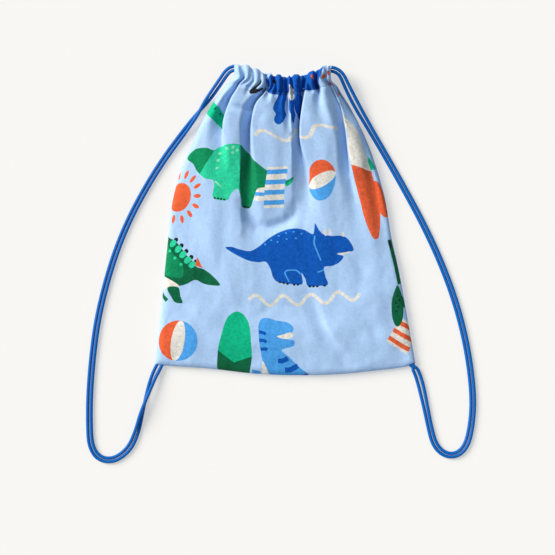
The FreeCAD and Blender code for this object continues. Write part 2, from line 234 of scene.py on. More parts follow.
def tube(name, line, radius, sides=14):
    """A closed round tube along a line, with UV: across 0 to 1 round it, along in diameters."""
    verts = []
    lengths = []
    along = 0.0
    side = None
    for k, p in enumerate(line):
        before, after = around(line, k)
        heading = (after - before).normalized()
        if side is None:
            side = heading.cross(UP).normalized()
        side = (side - heading * side.dot(heading)).normalized()
        up = side.cross(heading)
        along += (p - before).length
        lengths.append(along)
        for j in range(sides):
            turn = 2 * math.pi * j / sides
            verts.append(p + side * (radius * math.cos(turn)) + up * (radius * math.sin(turn)))
    mesh = bpy.data.meshes.new(name)
    mesh.from_pydata(verts, [], tube_faces(0, len(line), sides))
    layer = mesh.uv_layers.new(name="braid")
    for polygon in mesh.polygons:
        polygon.use_smooth = len(polygon.vertices) == 4
        ring = min(polygon.vertices) % sides
        wraps = len(polygon.vertices) == 4 and ring == 0 and max(polygon.vertices) % sides == sides - 1
        for loop_index in polygon.loop_indices:
            v = mesh.loops[loop_index].vertex_index
            across = 1.0 if wraps and v % sides == 0 else v % sides / sides
            layer.data[loop_index].uv = (across, lengths[v // sides] / (2 * radius))
    return mesh


# ---------------------------------------------------------------- cords

CORD_DIAMETER = 4.3
R = CORD_DIAMETER / 2
C = 8.2                 # height of the upper strand where two strands cross


def lying(half_gap, *places):
    """The rows of a doubled cord where both its strands lie on the floor."""
    return [(x, y, R, R, half_gap) for x, y in places]


# Middle line of each doubled cord from the side opening to the bottom corner:
# x, y, height of the front strand, height of the back strand, half the gap.
LEFT_PAIR = [
    (-63.7, 191.8, 15, 15, 2.6), (-71.8, 188.7, 14.6, 13.6, 2.5), (-81.6, 174.6, 12.6, 10, 2.4),
    (-94, 157.2, 9.6, 5.4, 2.3), (-101.8, 147, C, 2.8, 1.3), (-111, 134, C, R, -1.3),
    (-127, 113, 4.2, R, -2.3),
    *lying(-2.3, (-150.5, 81.5), (-172, 48.5), (-195.5, 5.5), (-213.5, -37), (-227.5, -82),
           (-238.5, -129), (-244.8, -178), (-248.2, -224), (-248.4, -262)),
    *lying(-2.5, (-246.8, -288), (-236.5, -304), (-217, -306.5), (-197.5, -292)),
    (-187.5, -269.5, 4.2, R, -2.3), (-181.8, -246, C, R, -1.3), (-174.8, -222.5, C, R, 1.3),
    (-167.2, -201, 6, 3, 2.7), (-161.3, -188.8, 4, 4, 3.1),
]
RIGHT_PAIR = [
    (59, 190.8, 15, 15, 2.4), (67.6, 187.8, 14.6, 14.2, 2.4), (73.4, 181.6, 13.8, 12.8, 2.5),
    (78.4, 170.4, 11.8, 10, 2.8), (90.2, 147.4, 7.6, 5.6, 3.2), (106.8, 119, 3.6, 2.8, 2.4),
    *lying(2.3, (128.5, 82), (153, 38.5), (177.5, -7), (199, -53.5), (217, -101.5),
           (229.5, -148.5), (237, -192), (240.3, -232), (237.8, -262)),
    *lying(2.5, (232.3, -286.5), (220, -299.5), (203.5, -299), (190.5, -286)),
    (184.5, -262, R, R, 2.3), (180.3, -241, R, R, 2.4), (175.2, -217.5, R, R, 3.0),
    (172.3, -206, R, R, 3.1), (169, -196, 2.8, 2.8, 3.0), (165.2, -188.2, 4, 4, 2.8),
]
LEFT_CHANNEL = [
    (-60.2, 194, 15.4), (-54.2, 191.6, 16.8), (-45, 188.4, 20.6), (-26, 180.6, 21.2),
    (6, 175.8, 21.2), (27, 180, 21.2), (38.5, 184.6, 21.2), (43.1, 186, 13.3),
    (38.5, 184.6, 5.4), (27, 180, 5.4), (6, 175.8, 5.4), (-26, 180.6, 5.4),
    (-45, 188.2, 6.4), (-52.6, 189.6, 11.6), (-58.2, 189.9, 14),
]
RIGHT_CHANNEL = [
    (54.7, 191.8, 15.6), (49.6, 187.4, 17), (42.5, 180.4, 20.8), (28, 173.8, 21.2),
    (6, 169.7, 21.2), (-22, 174, 21.2), (-38.5, 180.6, 21.2), (-43.1, 182.4, 13.3),
    (-38.5, 180.6, 5.4), (-22, 174, 5.4), (6, 169.7, 5.4), (28, 173.8, 5.4),
    (42, 179.6, 6.2), (48.4, 183.4, 11.4), (53.8, 187, 13.9),
]
# Where each strand's sewn end starts and stops inside the bottom corner.
LEFT_TAILS = [[(-156.9, -186.8), (-150.3, -173.6)], [(-162.4, -184.8), (-156, -171.4)]]
RIGHT_TAILS = [[(164.8, -183.4), (157.4, -171.4)], [(159.8, -186.4), (152.7, -174.2)]]
TAIL_Z = 4.75
FRONT = 1
BACK = -1


def strand(pair, outward, which):
    """One strand of a doubled cord: its points stand off the pair's middle line."""
    points = []
    for k, (x, y, front_z, back_z, gap) in enumerate(pair):
        before, after = around(pair, k)
        heading = Vector((after[0] - before[0], after[1] - before[1])).normalized()
        off = Vector((heading.y, -heading.x)) * outward * which * gap
        z = front_z if which == FRONT else back_z
        points.append((x + off.x, y + off.y, z))
    return points


def cord_route(pair, channel, tails, outward):
    """The whole cord: corner, front strand, tunnels, back strand, corner."""
    front = strand(pair, outward, FRONT)
    back = strand(pair, outward, BACK)
    front_tail = [(x, y, TAIL_Z) for x, y in tails[0]]
    back_tail = [(x, y, TAIL_Z) for x, y in tails[1]]
    points = front_tail[::-1] + front[::-1] + channel + back + back_tail
    return [Vector(p) * MM for p in points]


def cord_material():
    """Satin braided cord: deep blue, with a fine herringbone of filaments that catches the light. Its
    colour has painted shade in the braid's grooves and a painted highlight on its ridges.
    """
    material, tree, shader = new_material("cord_satin")
    where = tree.nodes.new("ShaderNodeUVMap")
    where.uv_map = "braid"
    split = tree.nodes.new("ShaderNodeSeparateXYZ")
    tree.links.new(where.outputs["UV"], split.inputs[0])
    waves = []
    for lean in (4.0, -4.0):
        slope = math_node(tree, "MULTIPLY_ADD", split.outputs["X"], lean, split.outputs["Y"])
        waves.append(math_node(tree, "SINE", math_node(tree, "MULTIPLY", slope, 3 * math.pi)))
    weave = math_node(tree, "MAXIMUM", *waves)
    # Painted shade and highlight: the colour runs from darker in the braid's grooves to lighter on its
    # ridges.
    shade = math_node(tree, "MULTIPLY_ADD", weave, 0.4, 0.5)
    add_colours(tree, shader, shade, srgb(0, 67, 138), srgb(0, 103, 192))
    add_bump(tree, shader, weave, 0.25, 0.0003)
    sock(shader, "Roughness", 0.45)
    sock(shader, "Specular IOR Level", 0.18)
    return material


def make_cord(side, pair, channel, tails, outward, material):
    """One whole drawcord. The part outside the bag bends into the bag."""
    points = cord_route(pair, channel, tails, outward)
    line = smooth_line(points)
    cord = new_object(f"{side}_drawcord", tube(f"{side}_drawcord", line, R * MM))
    cord.data.materials.append(material)
    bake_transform(cord)
    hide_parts(*[f"{side}_cord_{part}" for part in
                        ("front_strand", "back_strand", "channel_run", "front_tail", "back_tail")])


# ---------------------------------------------------------------- shape of the bag

# Outline of the lying bag: the side edges as (y, x), the top and bottom edges as (x, y).
LEFT_EDGE = [(-186, -165), (-154, -161), (-102, -155.5), (-58, -151.5), (-25, -148),
             (31, -141), (70, -129.5), (102, -116), (138, -98.5), (150, -91), (160, -83.5),
             (171, -75.5), (180, -69.5), (187, -66), (198, -63.5)]
RIGHT_EDGE = [(-186, 166.5), (-173, 164.4), (-154, 161), (-102, 152), (-58, 144), (-25, 136.5),
              (31, 127), (70, 116), (102, 104.5), (138, 87), (150, 80.5), (160, 74),
              (174, 66), (184, 61), (198, 58.5)]
BOTTOM_EDGE = [(-165, -184.5), (-86, -190), (-43, -195), (0, -197.3), (20, -197.5),
               (43, -197.3), (85, -195), (110, -192.3), (146, -188), (156, -186.2), (166.5, -182.4)]
TOP_EDGE = [(-63, 195.4), (-50, 195.4), (-40, 192.4), (-28, 187.4), (-12, 183.4),
            (6, 182.5), (20, 183.5), (34, 187), (44, 192.6), (50, 194.2), (61, 193.8)]

# Where each side of the outline starts at the bottom, and how far it goes to the mouth.
LEFT_LOW_Y, LEFT_RISE = -184.5, 381.7
RIGHT_LOW_Y, RIGHT_RISE = -182.6, 377.9
BOTTOM_LEFT_X, BOTTOM_SPAN = -165, 331.5
MOUTH_LEFT_X, MOUTH_SPAN = -63.5, 122
# The side seams as (y, x), and how far in from a seam its allowance starts and stops.
LEFT_SEAM = [(-154, -161), (-102, -155.5), (-58, -151.5), (-25, -148), (31, -141), (70, -129),
             (102, -115), (138, -97)]
RIGHT_SEAM = [(-154, 161), (-102, 152), (-58, 144), (-25, 136.5), (31, 127), (70, 116),
              (102, 104.5), (138, 86)]
ALLOWANCE = (4.9, 10.8)

CLOTH_WIDTH = 345.0
STITCH_V = 370.0        # cloth height of the stitch row under the casing
FOLD_V = 395.0          # cloth height of the mouth's folded edge
CLOTH_HEIGHT = 421.0    # and of the turned-in edge below it
PLY = 2.0
SEAM_Z = 4.6
SIDE_OPENING_Z = 19.5   # height of the front cloth's side edge at the openings
STITCH_PINCH = 1.3      # how deep the stitch row pulls the cloth in
STITCH_LENGTH = 2.7
STITCH_PITCH = 3.5
BACK_GATHERS = 18
SECTION_POINTS = 1500   # points across a section before they are evenly spaced

# The casing's gathers, left to right: x at the mouth, depth, how far each runs below the
# stitches, and how much it slants.
PUCKERS = [
    (-49.6, 4.2, 14, 0.10), (-43.4, 3.0, 5, -0.06), (-37.9, 4.6, 16, 0.08), (-32.0, 3.4, 6, -0.10),
    (-20.9, 4.6, 12, 0.05), (-15.2, 5.4, 20, -0.07), (-9.6, 4.4, 9, 0.09), (-3.4, 5.6, 18, -0.04),
    (10.2, 5.8, 22, 0.06), (17.8, 5.0, 12, -0.09), (31.4, 4.6, 8, 0.10), (37.6, 5.6, 14, -0.05),
    (48.2, 3.4, 6, 0.08), (57.2, 2.6, 4, 0.0),
]
# The long folds: rows of y, x, depth, reach to the left, reach to the right, how far the
# crest on the right leans over the fold, and how round the crest on the left is (1 is a sharp edge).
FOLDS = [
    [(193, -55, 4.4, 4, 4, 0, 2), (172, -56.5, 8, 8, 4, 2, 2), (153, -65.5, 13, 15, 5, 6, 1.7),
     (136, -70.5, 14, 19, 5, 8, 1.7), (122, -74, 13, 22, 5, 8, 1.7), (103, -76.5, 9, 24, 6, 5, 1.8),
     (80, -79, 4.5, 26, 10, 1, 2), (45, -82, 2, 30, 20, 0, 2), (10, -84, 0, 30, 30, 0, 2)],
    [(193, -26, 5.4, 4, 4, 0, 2), (172, -22, 9, 7, 5, 1, 2), (160, -25, 13, 12, 5, 3, 2),
     (150, -32.5, 15, 16, 5, 5, 1.8), (127, -40, 15.5, 15.5, 5, 5, 1.3), (98, -43.5, 14, 12.2, 6, 3, 1),
     (75, -44.5, 11, 11.2, 8, 1, 1), (48, -45, 8, 10.7, 12, 0, 1), (15, -46, 5, 9.7, 18, 0, 1),
     (-15, -46, 2.4, 9.7, 24, 0, 1.2), (-45, -48, 0, 14, 26, 0, 2)],
    [(193, 3.4, 5.6, 4, 4, 0, 2), (170, 2.5, 9, 6, 4, 0, 2), (150, 4, 10, 8, 4, 1, 1.6),
     (130, 5, 7, 8, 4, 1, 1.6), (118, 5.5, 3, 8, 3.5, 0, 1.6), (100, 5.5, 0, 8, 8, 0, 2)],
    [(193, 24.6, 5.6, 4, 4, 0, 2), (172, 26, 9.5, 6, 5, 2, 2), (158, 26, 14, 11, 5, 5, 1.6),
     (137, 25, 17, 15, 5, 8, 1.2), (118, 23.8, 17, 14.7, 5, 9, 1), (100, 23.4, 16, 14.3, 5, 8, 1),
     (84, 24.5, 13, 15.4, 6, 6, 1), (65, 27, 10, 17.9, 8, 3, 1), (45, 29, 7, 19.9, 12, 1, 1),
     (20, 29, 4.5, 19.9, 18, 0, 1), (-5, 28, 2.4, 19, 24, 0, 1.3), (-40, 26, 0, 24, 26, 0, 2)],
    [(193, 43, 5, 4, 4, 0, 2), (172, 42, 9, 5, 4, 0, 2), (158, 42.5, 8, 6, 5, 0, 2),
     (146, 43.5, 5, 9, 8, 0, 2), (128, 46, 2, 12, 12, 0, 2), (105, 49, 0, 14, 14, 0, 2)],
    [(193, 52, 4, 4, 4, 0, 2), (177, 56, 8, 7, 4, 3, 2), (160, 64.5, 12, 16, 5, 5, 1.6),
     (140, 74.5, 13, 22, 5, 7, 1.6), (117, 80, 13, 20, 5, 8, 1.6), (90, 82.5, 11.5, 18, 5, 7, 1.6),
     (64, 84, 9, 18, 6, 5, 1.6), (37, 87, 5, 18, 9, 2, 2), (5, 90, 2.4, 20, 16, 0, 2),
     (-30, 92, 0, 24, 24, 0, 2)],
    [(150, 84, 0, 6, 6, 0, 2), (128, 98, 3, 8, 6, 1, 2), (100, 101, 4.4, 10, 8, 1.5, 2),
     (70, 107, 4, 10, 8, 1.5, 2), (40, 115, 3.4, 12, 8, 1, 2), (5, 121, 2.4, 13, 10, 0, 2),
     (-30, 127, 1.2, 15, 13, 0, 2), (-70, 133, 0, 16, 16, 0, 2)],
    [(-70, 24, 0, 20, 20, 0, 2), (-98, 33, 1.8, 20, 14, 0, 2), (-126, 44, 3.6, 20, 9, 0, 2),
     (-148, 55, 3.2, 20, 9, 0, 2), (-168, 67, 1.8, 22, 14, 0, 2), (-188, 76, 0, 22, 20, 0, 2)],
    [(60, -112, 0, 15, 15, 0, 2), (20, -116, 1.4, 18, 18, 0, 2), (-30, -112, 1.8, 22, 22, 0, 2),
     (-80, -96, 1.1, 28, 28, 0, 2), (-110, -90, 0, 30, 30, 0, 2)],
]
# The casings in section. Rows of mm of cloth past the stitches, how far below the mouth's edge,
# height, the way the cloth faces (y, z), and how much of the gathers' depth shows there.
FRONT_CASING = [
    (0, 25, 29.2, 0, 1, 1.15), (3, 22, 30.6, 0, 1, 1.0), (8, 17, 31.6, 0, 1, 1.0),
    (14, 11, 31.8, 0, 1, 1.0), (19, 6, 31.0, 0.3, 0.95, 0.95), (22.5, 2.6, 29.0, 0.7, 0.7, 0.8),
    (25, 0.6, 26.2, 0.95, 0.3, 0.7), (28, 0, 22.8, 1, 0, 0.6), (31, 1.0, 19.4, 0.9, -0.4, 0.45),
    (34, 3.6, 17.5, 0.5, -0.85, 0.25), (39, 8.5, 16.8, 0, -1, 0.15), (45, 14, 16.8, 0, -1, 0.15),
    (51, 20, 17.2, 0, -1, 0.15),
]
BACK_CASING = [
    (0, 25, 0.5, 0, -1, 0.1), (14, 11, 0.5, 0, -1, 0.1), (19, 6, 0.8, 0.2, -0.9, 0.3),
    (22.5, 2.6, 2.1, 0.7, -0.7, 0.6), (25, 0.6, 4.2, 0.95, -0.3, 0.8), (28, 0, 6.6, 1, 0, 0.7),
    (31, 1.0, 8.8, 0.9, 0.4, 0.5), (34, 3.6, 10.2, 0.5, 0.85, 0.25), (39, 8.5, 10.7, 0, 1, 0.12),
    (45, 14, 10.7, 0, 1, 0.12), (51, 20, 10.4, 0, 1, 0.12),
]
# Short slanting creases, each a line of x, y on the bag: depth, width, points.
CREASES = [
    (4.0, 4.0, [(-67, 150), (-61, 142), (-52, 139), (-42, 143), (-32, 151)]),
    (2.2, 3.5, [(48, 178), (47, 160), (50, 150)]),
    (2.0, 4.5, [(-8, 166), (-9, 148), (-5, 132)]),
    (1.6, 5.0, [(12, 150), (14, 130), (10, 112)]),
    (6.0, 7.5, [(-51, 20), (-45, 2), (-35, -8), (-22, -11), (-9, -8), (3, -3), (11, 6), (14, 18)]),
    (1.8, 8.0, [(-120, 96), (-108, 60), (-104, 20)]),
    (1.5, 9.0, [(40, -10), (62, -30), (66, -62)]),
    (1.6, 8.0, [(86, -44), (98, -64), (96, -88)]),
    (1.3, 8.0, [(-96, -96), (-70, -110), (-44, -108)]),
    (1.4, 7.0, [(-30, -118), (-10, -108), (16, -112)]),
    (1.5, 7.0, [(-128, -112), (-112, -128), (-104, -150)]),
    (1.4, 8.0, [(96, -118), (112, -136), (118, -160)]),
    (1.2, 6.0, [(-150, -60), (-136, -66), (-120, -60)]),
]
# Broad, low swells and hollows: x, y, radius across, radius along, height.
SWELLS = [
    (-95, 30, 30, 55, 2.4), (-18, 60, 18, 50, 1.6), (52, 60, 16, 60, 2.0), (-5, -40, 55, 40, 2.0),
    (-70, -60, 28, 40, 1.8), (95, -60, 22, 30, -2.0), (70, -140, 30, 25, 2.4), (-20, -150, 45, 22, 1.8),
    (-110, -130, 35, 25, 1.8), (-18, 4, 22, 22, -4.0), (-60, -5, 14, 30, 2.2), (110, -110, 25, 25, 1.6),
    (10, 0, 20, 14, -2.6), (-105, -78, 20, 20, -1.6), (25, -120, 24, 16, -1.4), (-60, -128, 20, 20, -1.2),
]


def smooth_interp(x, points):
    """A smooth line through the points, level past both ends."""
    points = sorted(points)
    xs = np.array([p[0] for p in points], float)
    ys = np.array([p[1] for p in points], float)
    slopes = np.gradient(ys, xs)
    x = np.clip(np.asarray(x, float), xs[0], xs[-1])
    k = np.clip(np.searchsorted(xs, x) - 1, 0, len(xs) - 2)
    span = xs[k + 1] - xs[k]
    t = (x - xs[k]) / span
    rise = 3 * t ** 2 - 2 * t ** 3
    start = t ** 3 - 2 * t ** 2 + t
    end = t ** 3 - t ** 2
    return ys[k] * (1 - rise) + ys[k + 1] * rise + span * (slopes[k] * start + slopes[k + 1] * end)


def read_rows(rows, at):
    """The other columns of a table of rows, read smoothly at a value of its first column."""
    places, *columns = zip(*rows)
    return [smooth_interp(at, list(zip(places, column))) for column in columns]


def smoothstep(x, low, high):
    """0 below low, 1 above high, and a smooth rise between."""
    t = np.clip((np.asarray(x, float) - low) / (high - low), 0, 1)
    return t * t * (3 - 2 * t)


def outline_patch(s, t):
    """Plan position of a point s across and t up the bag, both 0 to 1, inside the outline."""
    def left(t):
        y = LEFT_LOW_Y + t * LEFT_RISE
        return smooth_interp(y, LEFT_EDGE), y

    def right(t):
        y = RIGHT_LOW_Y + t * RIGHT_RISE
        return smooth_interp(y, RIGHT_EDGE), y

    def bottom(s):
        x = BOTTOM_LEFT_X + s * BOTTOM_SPAN
        return x, smooth_interp(x, BOTTOM_EDGE)

    def top(s):
        x = MOUTH_LEFT_X + s * MOUTH_SPAN
        return x, smooth_interp(x, TOP_EDGE)

    out = []
    for axis in (0, 1):
        l, r, b, u = left(t)[axis], right(t)[axis], bottom(s)[axis], top(s)[axis]
        l0, l1 = left(0)[axis], left(1)[axis]
        r0, r1 = right(0)[axis], right(1)[axis]
        out.append((1 - s) * l + s * r + (1 - t) * b + t * u
                   - (1 - s) * (1 - t) * l0 - s * (1 - t) * r0 - (1 - s) * t * l1 - s * t * r1)
    return out


def edge_rise(inset, roll, reach):
    """0 at an edge to 1 well inside: a round roll, then a slow rise."""
    r = np.clip(inset / roll, 0, 1)
    return 0.62 * np.sqrt(np.clip(1 - (1 - r) ** 2, 0, 1)) + 0.38 * smoothstep(inset, 0, reach)


def fold_shape(offset, left, right, left_crest=2.0):
    """1 at the bottom of a fold, rising to 0 at its crests, which are left and right mm away."""
    width = np.where(offset < 0, left, right)
    near = np.clip(1 - np.abs(offset) / width, 0, 1)
    return np.sin(math.pi / 2 * near) ** np.where(offset < 0, left_crest, 2.0)


def line_distance(x, y, points):
    """How far each point is from a broken line, and how far along it the nearest place is, 0 to 1."""
    best = np.full_like(x, 1e9)
    where = np.zeros_like(x)
    count = len(points) - 1
    for k in range(count):
        x0, y0 = points[k]
        x1, y1 = points[k + 1]
        long = (x1 - x0) ** 2 + (y1 - y0) ** 2
        t = np.clip(((x - x0) * (x1 - x0) + (y - y0) * (y1 - y0)) / long, 0, 1)
        gap = np.hypot(x - x0 - t * (x1 - x0), y - y0 - t * (y1 - y0))
        nearer = gap < best
        best = np.where(nearer, gap, best)
        where = np.where(nearer, (k + t) / count, where)
    return best, where


def front_rows(v):
    """One row of the front cloth across the bag, at height v along the cloth, as x, y, z."""
    s = np.linspace(0, 1, SECTION_POINTS)
    t = min(v, FOLD_V) / FOLD_V
    x, y = outline_patch(s, t)
    inset_x = np.minimum(x - x[0], x[-1] - x)
    bottom_y = outline_patch(s, 0.0)[1]
    inset_y = y - bottom_y
    level = smooth_interp(y, [(-198, 13), (-150, 14), (-60, 15.5), (20, 17), (70, 20), (105, 25),
                              (140, 29.5), (165, 31), (200, 31)])
    casing = smoothstep(y, 150, 178)
    open_side = smoothstep(y, 166, 186)
    low = SEAM_Z + (SIDE_OPENING_Z - SEAM_Z) * open_side
    # The right shoulder is full: it rises soon from its edge and then lies nearly level.
    shoulder = smoothstep(y, 35, 80) * (1 - casing) * smoothstep(x - (x[0] + x[-1]) / 2, 10, 40)
    across = edge_rise(inset_x, 9 - 3 * casing - 3 * shoulder, 52 - 38 * casing - 38 * shoulder)
    along = edge_rise(inset_y, 9, 40)
    corner = np.exp(-(inset_x ** 2 + inset_y ** 2) / 18 ** 2)
    rise = across * along * (1 - corner) + np.minimum(across, along) * corner
    z = low + (level - low) * rise
    inside = np.clip(rise * 1.15, 0, 1)
    for cx, cy, rx, ry, height in SWELLS:
        z = z + inside * height * np.exp(-((x - cx) / rx) ** 2 - ((y - cy) / ry) ** 2)
    shift = np.zeros_like(x)
    sink = np.zeros_like(x)
    for rows in FOLDS:
        centre, depth, left, right, lean, left_crest = read_rows(rows, y)
        depth = np.clip(depth, 0, None)
        left = np.clip(left, 3, None)
        right = np.clip(right, 3, None)
        sink = sink + depth * fold_shape(x - centre, left, right, np.clip(left_crest, 1, 2))
        crest = centre + right
        shift = shift - np.clip(lean, 0, None) * np.exp(-((x - crest) / (right * 1.1)) ** 2)
    for depth, width, points in CREASES:
        gap, where = line_distance(x, y, points)
        taper = np.sin(math.pi * np.clip(where * 0.8 + 0.1, 0, 1)) ** 0.7
        sink = sink + depth * taper * np.exp(-(gap / width) ** 2)
    below = FOLD_V - 25 - v
    for mouth_x, depth, reach, slant in PUCKERS:
        place = (mouth_x - MOUTH_LEFT_X) / MOUTH_SPAN
        fade = 1 - smoothstep(below, -4, reach)
        centre = np.interp(place, s, x) + slant * below
        width = 3.4 + 0.09 * max(below, 0)
        sink = sink + depth * fade * fold_shape(x - centre, width, width)
    return x + shift, y, z, sink, inside


def front_section(v):
    """A row of the front cloth as points evenly spaced along the cloth."""
    x, y, z, sink, inside = front_rows(v)
    if v <= STITCH_V:
        z = z - sink - STITCH_PINCH * math.exp(-((STITCH_V - v) / 2.2) ** 2) * inside
    else:
        drop, height, out_y, out_z, share = read_rows(FRONT_CASING, v - STITCH_V)
        x_edge, y_edge = front_rows(FOLD_V)[:2]
        blend = smoothstep(v, STITCH_V, STITCH_V + 10)
        x = x * (1 - blend) + x_edge * blend
        y = y * (1 - blend) + (y_edge - drop) * blend
        inset_x = np.minimum(x - x[0], x[-1] - x)
        across = edge_rise(inset_x, 6, 14)
        top = min(height, SIDE_OPENING_Z) + max(height - SIDE_OPENING_Z, 0) * across
        z = (z - sink * 1.15) * (1 - blend) + top * blend
        y = y - sink * share * out_y * blend
        z = z - sink * share * out_z * blend
        z = z - STITCH_PINCH * math.exp(-((v - STITCH_V) / 2.2) ** 2)
    return x, y, z


def back_section(v):
    """A row of the back cloth, which lies on the floor and turns up to the seams."""
    s = np.linspace(0, 1, SECTION_POINTS)
    x, y = outline_patch(s, min(v, FOLD_V) / FOLD_V)
    inset_x = np.minimum(x - x[0], x[-1] - x)
    inset_y = y - outline_patch(s, 0.0)[1]
    edge_z = 4.0 + 5.5 * smoothstep(y, 166, 186)
    drop, height, out_y, out_z, share = read_rows(BACK_CASING, max(v - STITCH_V, 0))
    roll = [np.sqrt(np.clip(1 - (1 - np.clip(inset / 7, 0, 1)) ** 2, 0, 1)) for inset in (inset_x, inset_y)]
    z = edge_z + (height - edge_z) * roll[0] * roll[1]
    sink = np.zeros_like(x)
    below = STITCH_V - v
    for k in range(BACK_GATHERS):
        centre = np.interp((k + 0.6 + 0.25 * math.sin(k * 2.3)) / (BACK_GATHERS + 0.4), s, x)
        width = 3.4 + 0.09 * max(below, 0)
        fade = 1 - smoothstep(below, -6, 18 + 14 * (k % 3))
        sink = sink + 5.0 * fade * fold_shape(x - centre, width, width)
    if v > STITCH_V:
        blend = smoothstep(v, STITCH_V, STITCH_V + 10)
        x_edge, y_edge = outline_patch(s, 1.0)
        x = x * (1 - blend) + x_edge * blend
        y = y * (1 - blend) + (y_edge - drop) * blend
    y = y - sink * share * out_y
    z = z - sink * share * out_z * roll[0] * roll[1]
    return x, y, z


def even_spacing(x, y, z, count):
    """The same section with its points evenly spaced along the cloth."""
    step = np.sqrt(np.diff(x) ** 2 + np.diff(z) ** 2)
    along = np.concatenate([[0], np.cumsum(step)])
    wanted = np.linspace(0, along[-1], count)
    return [np.interp(wanted, along, c) for c in (x, y, z)]


GRID_U = 173            # points across the cloth and along it
GRID_V = 212
CELL = 2.0              # about how far apart they are
UV_SCALE = 100          # mm of cloth for each unit of UV


def cloth_grid(section):
    """The cloth's places in space, on an even grid of the flat cloth."""
    grid = np.zeros((GRID_V, GRID_U, 3))
    for j in range(GRID_V):
        v = CLOTH_HEIGHT * j / (GRID_V - 1)
        grid[j] = np.stack(even_spacing(*section(v), GRID_U), axis=1)
    return grid


def crumple(grid, seed, outward):
    """Small soft unevenness, as thick towelling has. The cloth on the floor has hardly any."""
    share = 1.0 if outward > 0 else 0.12
    for j in range(grid.shape[0]):
        v = j * CELL
        gathered = smoothstep(v, 120, 330)
        loose = 1 - 0.75 * smoothstep(v, 355, 372)
        for i in range(grid.shape[1]):
            u = i * CELL
            edge = min(u, CLOTH_WIDTH - u, v + 2)
            broad = noise.noise(Vector((u / 42, v / 55, seed)))
            soft = noise.noise(Vector((u / 20, v / (22 + 26 * gathered), seed + 3)))
            small = noise.noise(Vector((u / 8, v / 10, seed + 7)))
            ripple = noise.noise(Vector((u / 11, v / 11, seed + 11))) * math.exp(-edge / 9)
            rise = 1.5 * broad + (1.0 + 0.9 * gathered) * soft + 0.3 * small
            grid[j, i, 2] += share * loose * (rise * smoothstep(edge, -2, 14) + 1.1 * ripple)
    return grid


# ---------------------------------------------------------------- from the grid to a mesh


def cubic_weights(f):
    """How much each of four even points counts for a smooth value at f, 0 to 1, past the second."""
    return np.stack([
        -0.5 * f + f ** 2 - 0.5 * f ** 3,
        1 - 2.5 * f ** 2 + 1.5 * f ** 3,
        0.5 * f + 2 * f ** 2 - 1.5 * f ** 3,
        -0.5 * f ** 2 + 0.5 * f ** 3,
    ])


def sample(grid, u, v):
    """Points of the cloth at cloth places u, v (mm), read smoothly from its grid."""
    rows, columns = grid.shape[:2]
    a = np.clip(np.asarray(u, float) / CLOTH_WIDTH * (columns - 1), 0, columns - 1.000001)
    b = np.clip(np.asarray(v, float) / CLOTH_HEIGHT * (rows - 1), 0, rows - 1.000001)
    ia = a.astype(int)
    ib = b.astype(int)
    wa = cubic_weights(a - ia)
    wb = cubic_weights(b - ib)
    out = 0
    for m in range(4):
        row = 0
        jb = np.clip(ib + m - 1, 0, rows - 1)
        for n in range(4):
            ja = np.clip(ia + n - 1, 0, columns - 1)
            row = row + wa[n][:, None] * grid[jb, ja]
        out = out + wb[m][:, None] * row
    return out


def sample_normals(grid, u, v, reach=0.8):
    """The cloth's upward direction at cloth places u, v, taken over a short reach to each side."""
    du = sample(grid, u + reach, v) - sample(grid, u - reach, v)
    dv = sample(grid, u, v + reach) - sample(grid, u, v - reach)
    normal = np.cross(du, dv)
    return normal / np.maximum(np.linalg.norm(normal, axis=1), 1e-9)[:, None]


def inside_ring(points, ring):
    """Which of the points lie inside the closed ring."""
    inside = np.zeros(len(points), bool)
    px, py = points[:, 0], points[:, 1]
    for (x0, y0), (x1, y1) in zip(ring, np.roll(ring, -1, axis=0)):
        if y0 != y1:
            crosses = (y0 > py) != (y1 > py)
            inside ^= crosses & (px < (x1 - x0) * (py - y0) / (y1 - y0) + x0)
    return inside


def flat_points(shapes, step):
    """The print's outlines, and an even net of points that keeps clear of them."""
    points = []
    edges = []
    cell = step * 0.45
    taken = set()
    for _, outline in shapes:
        first = len(points)
        for k, (u, v) in enumerate(outline):
            points.append((u, v))
            edges.append((first + k, first + (k + 1) % len(outline)))
            taken.add((int(u / cell), int(v / cell)))
    columns = int(CLOTH_WIDTH / step)
    rows = int(CLOTH_HEIGHT / step)
    for j in range(rows + 1):
        for i in range(columns + 1):
            u = CLOTH_WIDTH * i / columns
            v = CLOTH_HEIGHT * j / rows
            border = i in (0, columns) or j in (0, rows)
            a, b = int(u / cell), int(v / cell)
            near = any((a + m, b + n) in taken for m in (-1, 0, 1) for n in (-1, 0, 1))
            if border or not near:
                points.append((u, v))
    return points, edges


def flat_mesh(shapes, step):
    """Triangles of the flat cloth, with the print's outlines as their edges.
    Returns the flat points, the triangles and each triangle's colour."""
    points, edges = flat_points(shapes, step)
    result = delaunay_2d_cdt([Vector(p) for p in points], edges, [], 0, 1e-5)
    flat = np.array([tuple(p) for p in result[0]])
    triangles = np.array([tuple(f) for f in result[2]])
    a, b, c = (flat[triangles[:, k]] for k in range(3))
    turn = (b[:, 0] - a[:, 0]) * (c[:, 1] - a[:, 1]) - (b[:, 1] - a[:, 1]) * (c[:, 0] - a[:, 0])
    triangles[turn < 0] = triangles[turn < 0][:, ::-1]
    triangles = triangles[np.abs(turn) > 1e-7]
    middle = flat[triangles].mean(axis=1)
    colours = np.zeros(len(triangles), int)
    for colour, outline in shapes:
        ring = np.array(outline)
        close = np.all((middle >= ring.min(axis=0)) & (middle <= ring.max(axis=0)), axis=1)
        near = np.where(close)[0]
        colours[near[inside_ring(middle[near], ring)]] = colour
    return flat, triangles, colours


FACING_V = 399.0        # the turned-in part starts past here, and is narrower than the casing
FACING_HALF_SPAN = 37.0


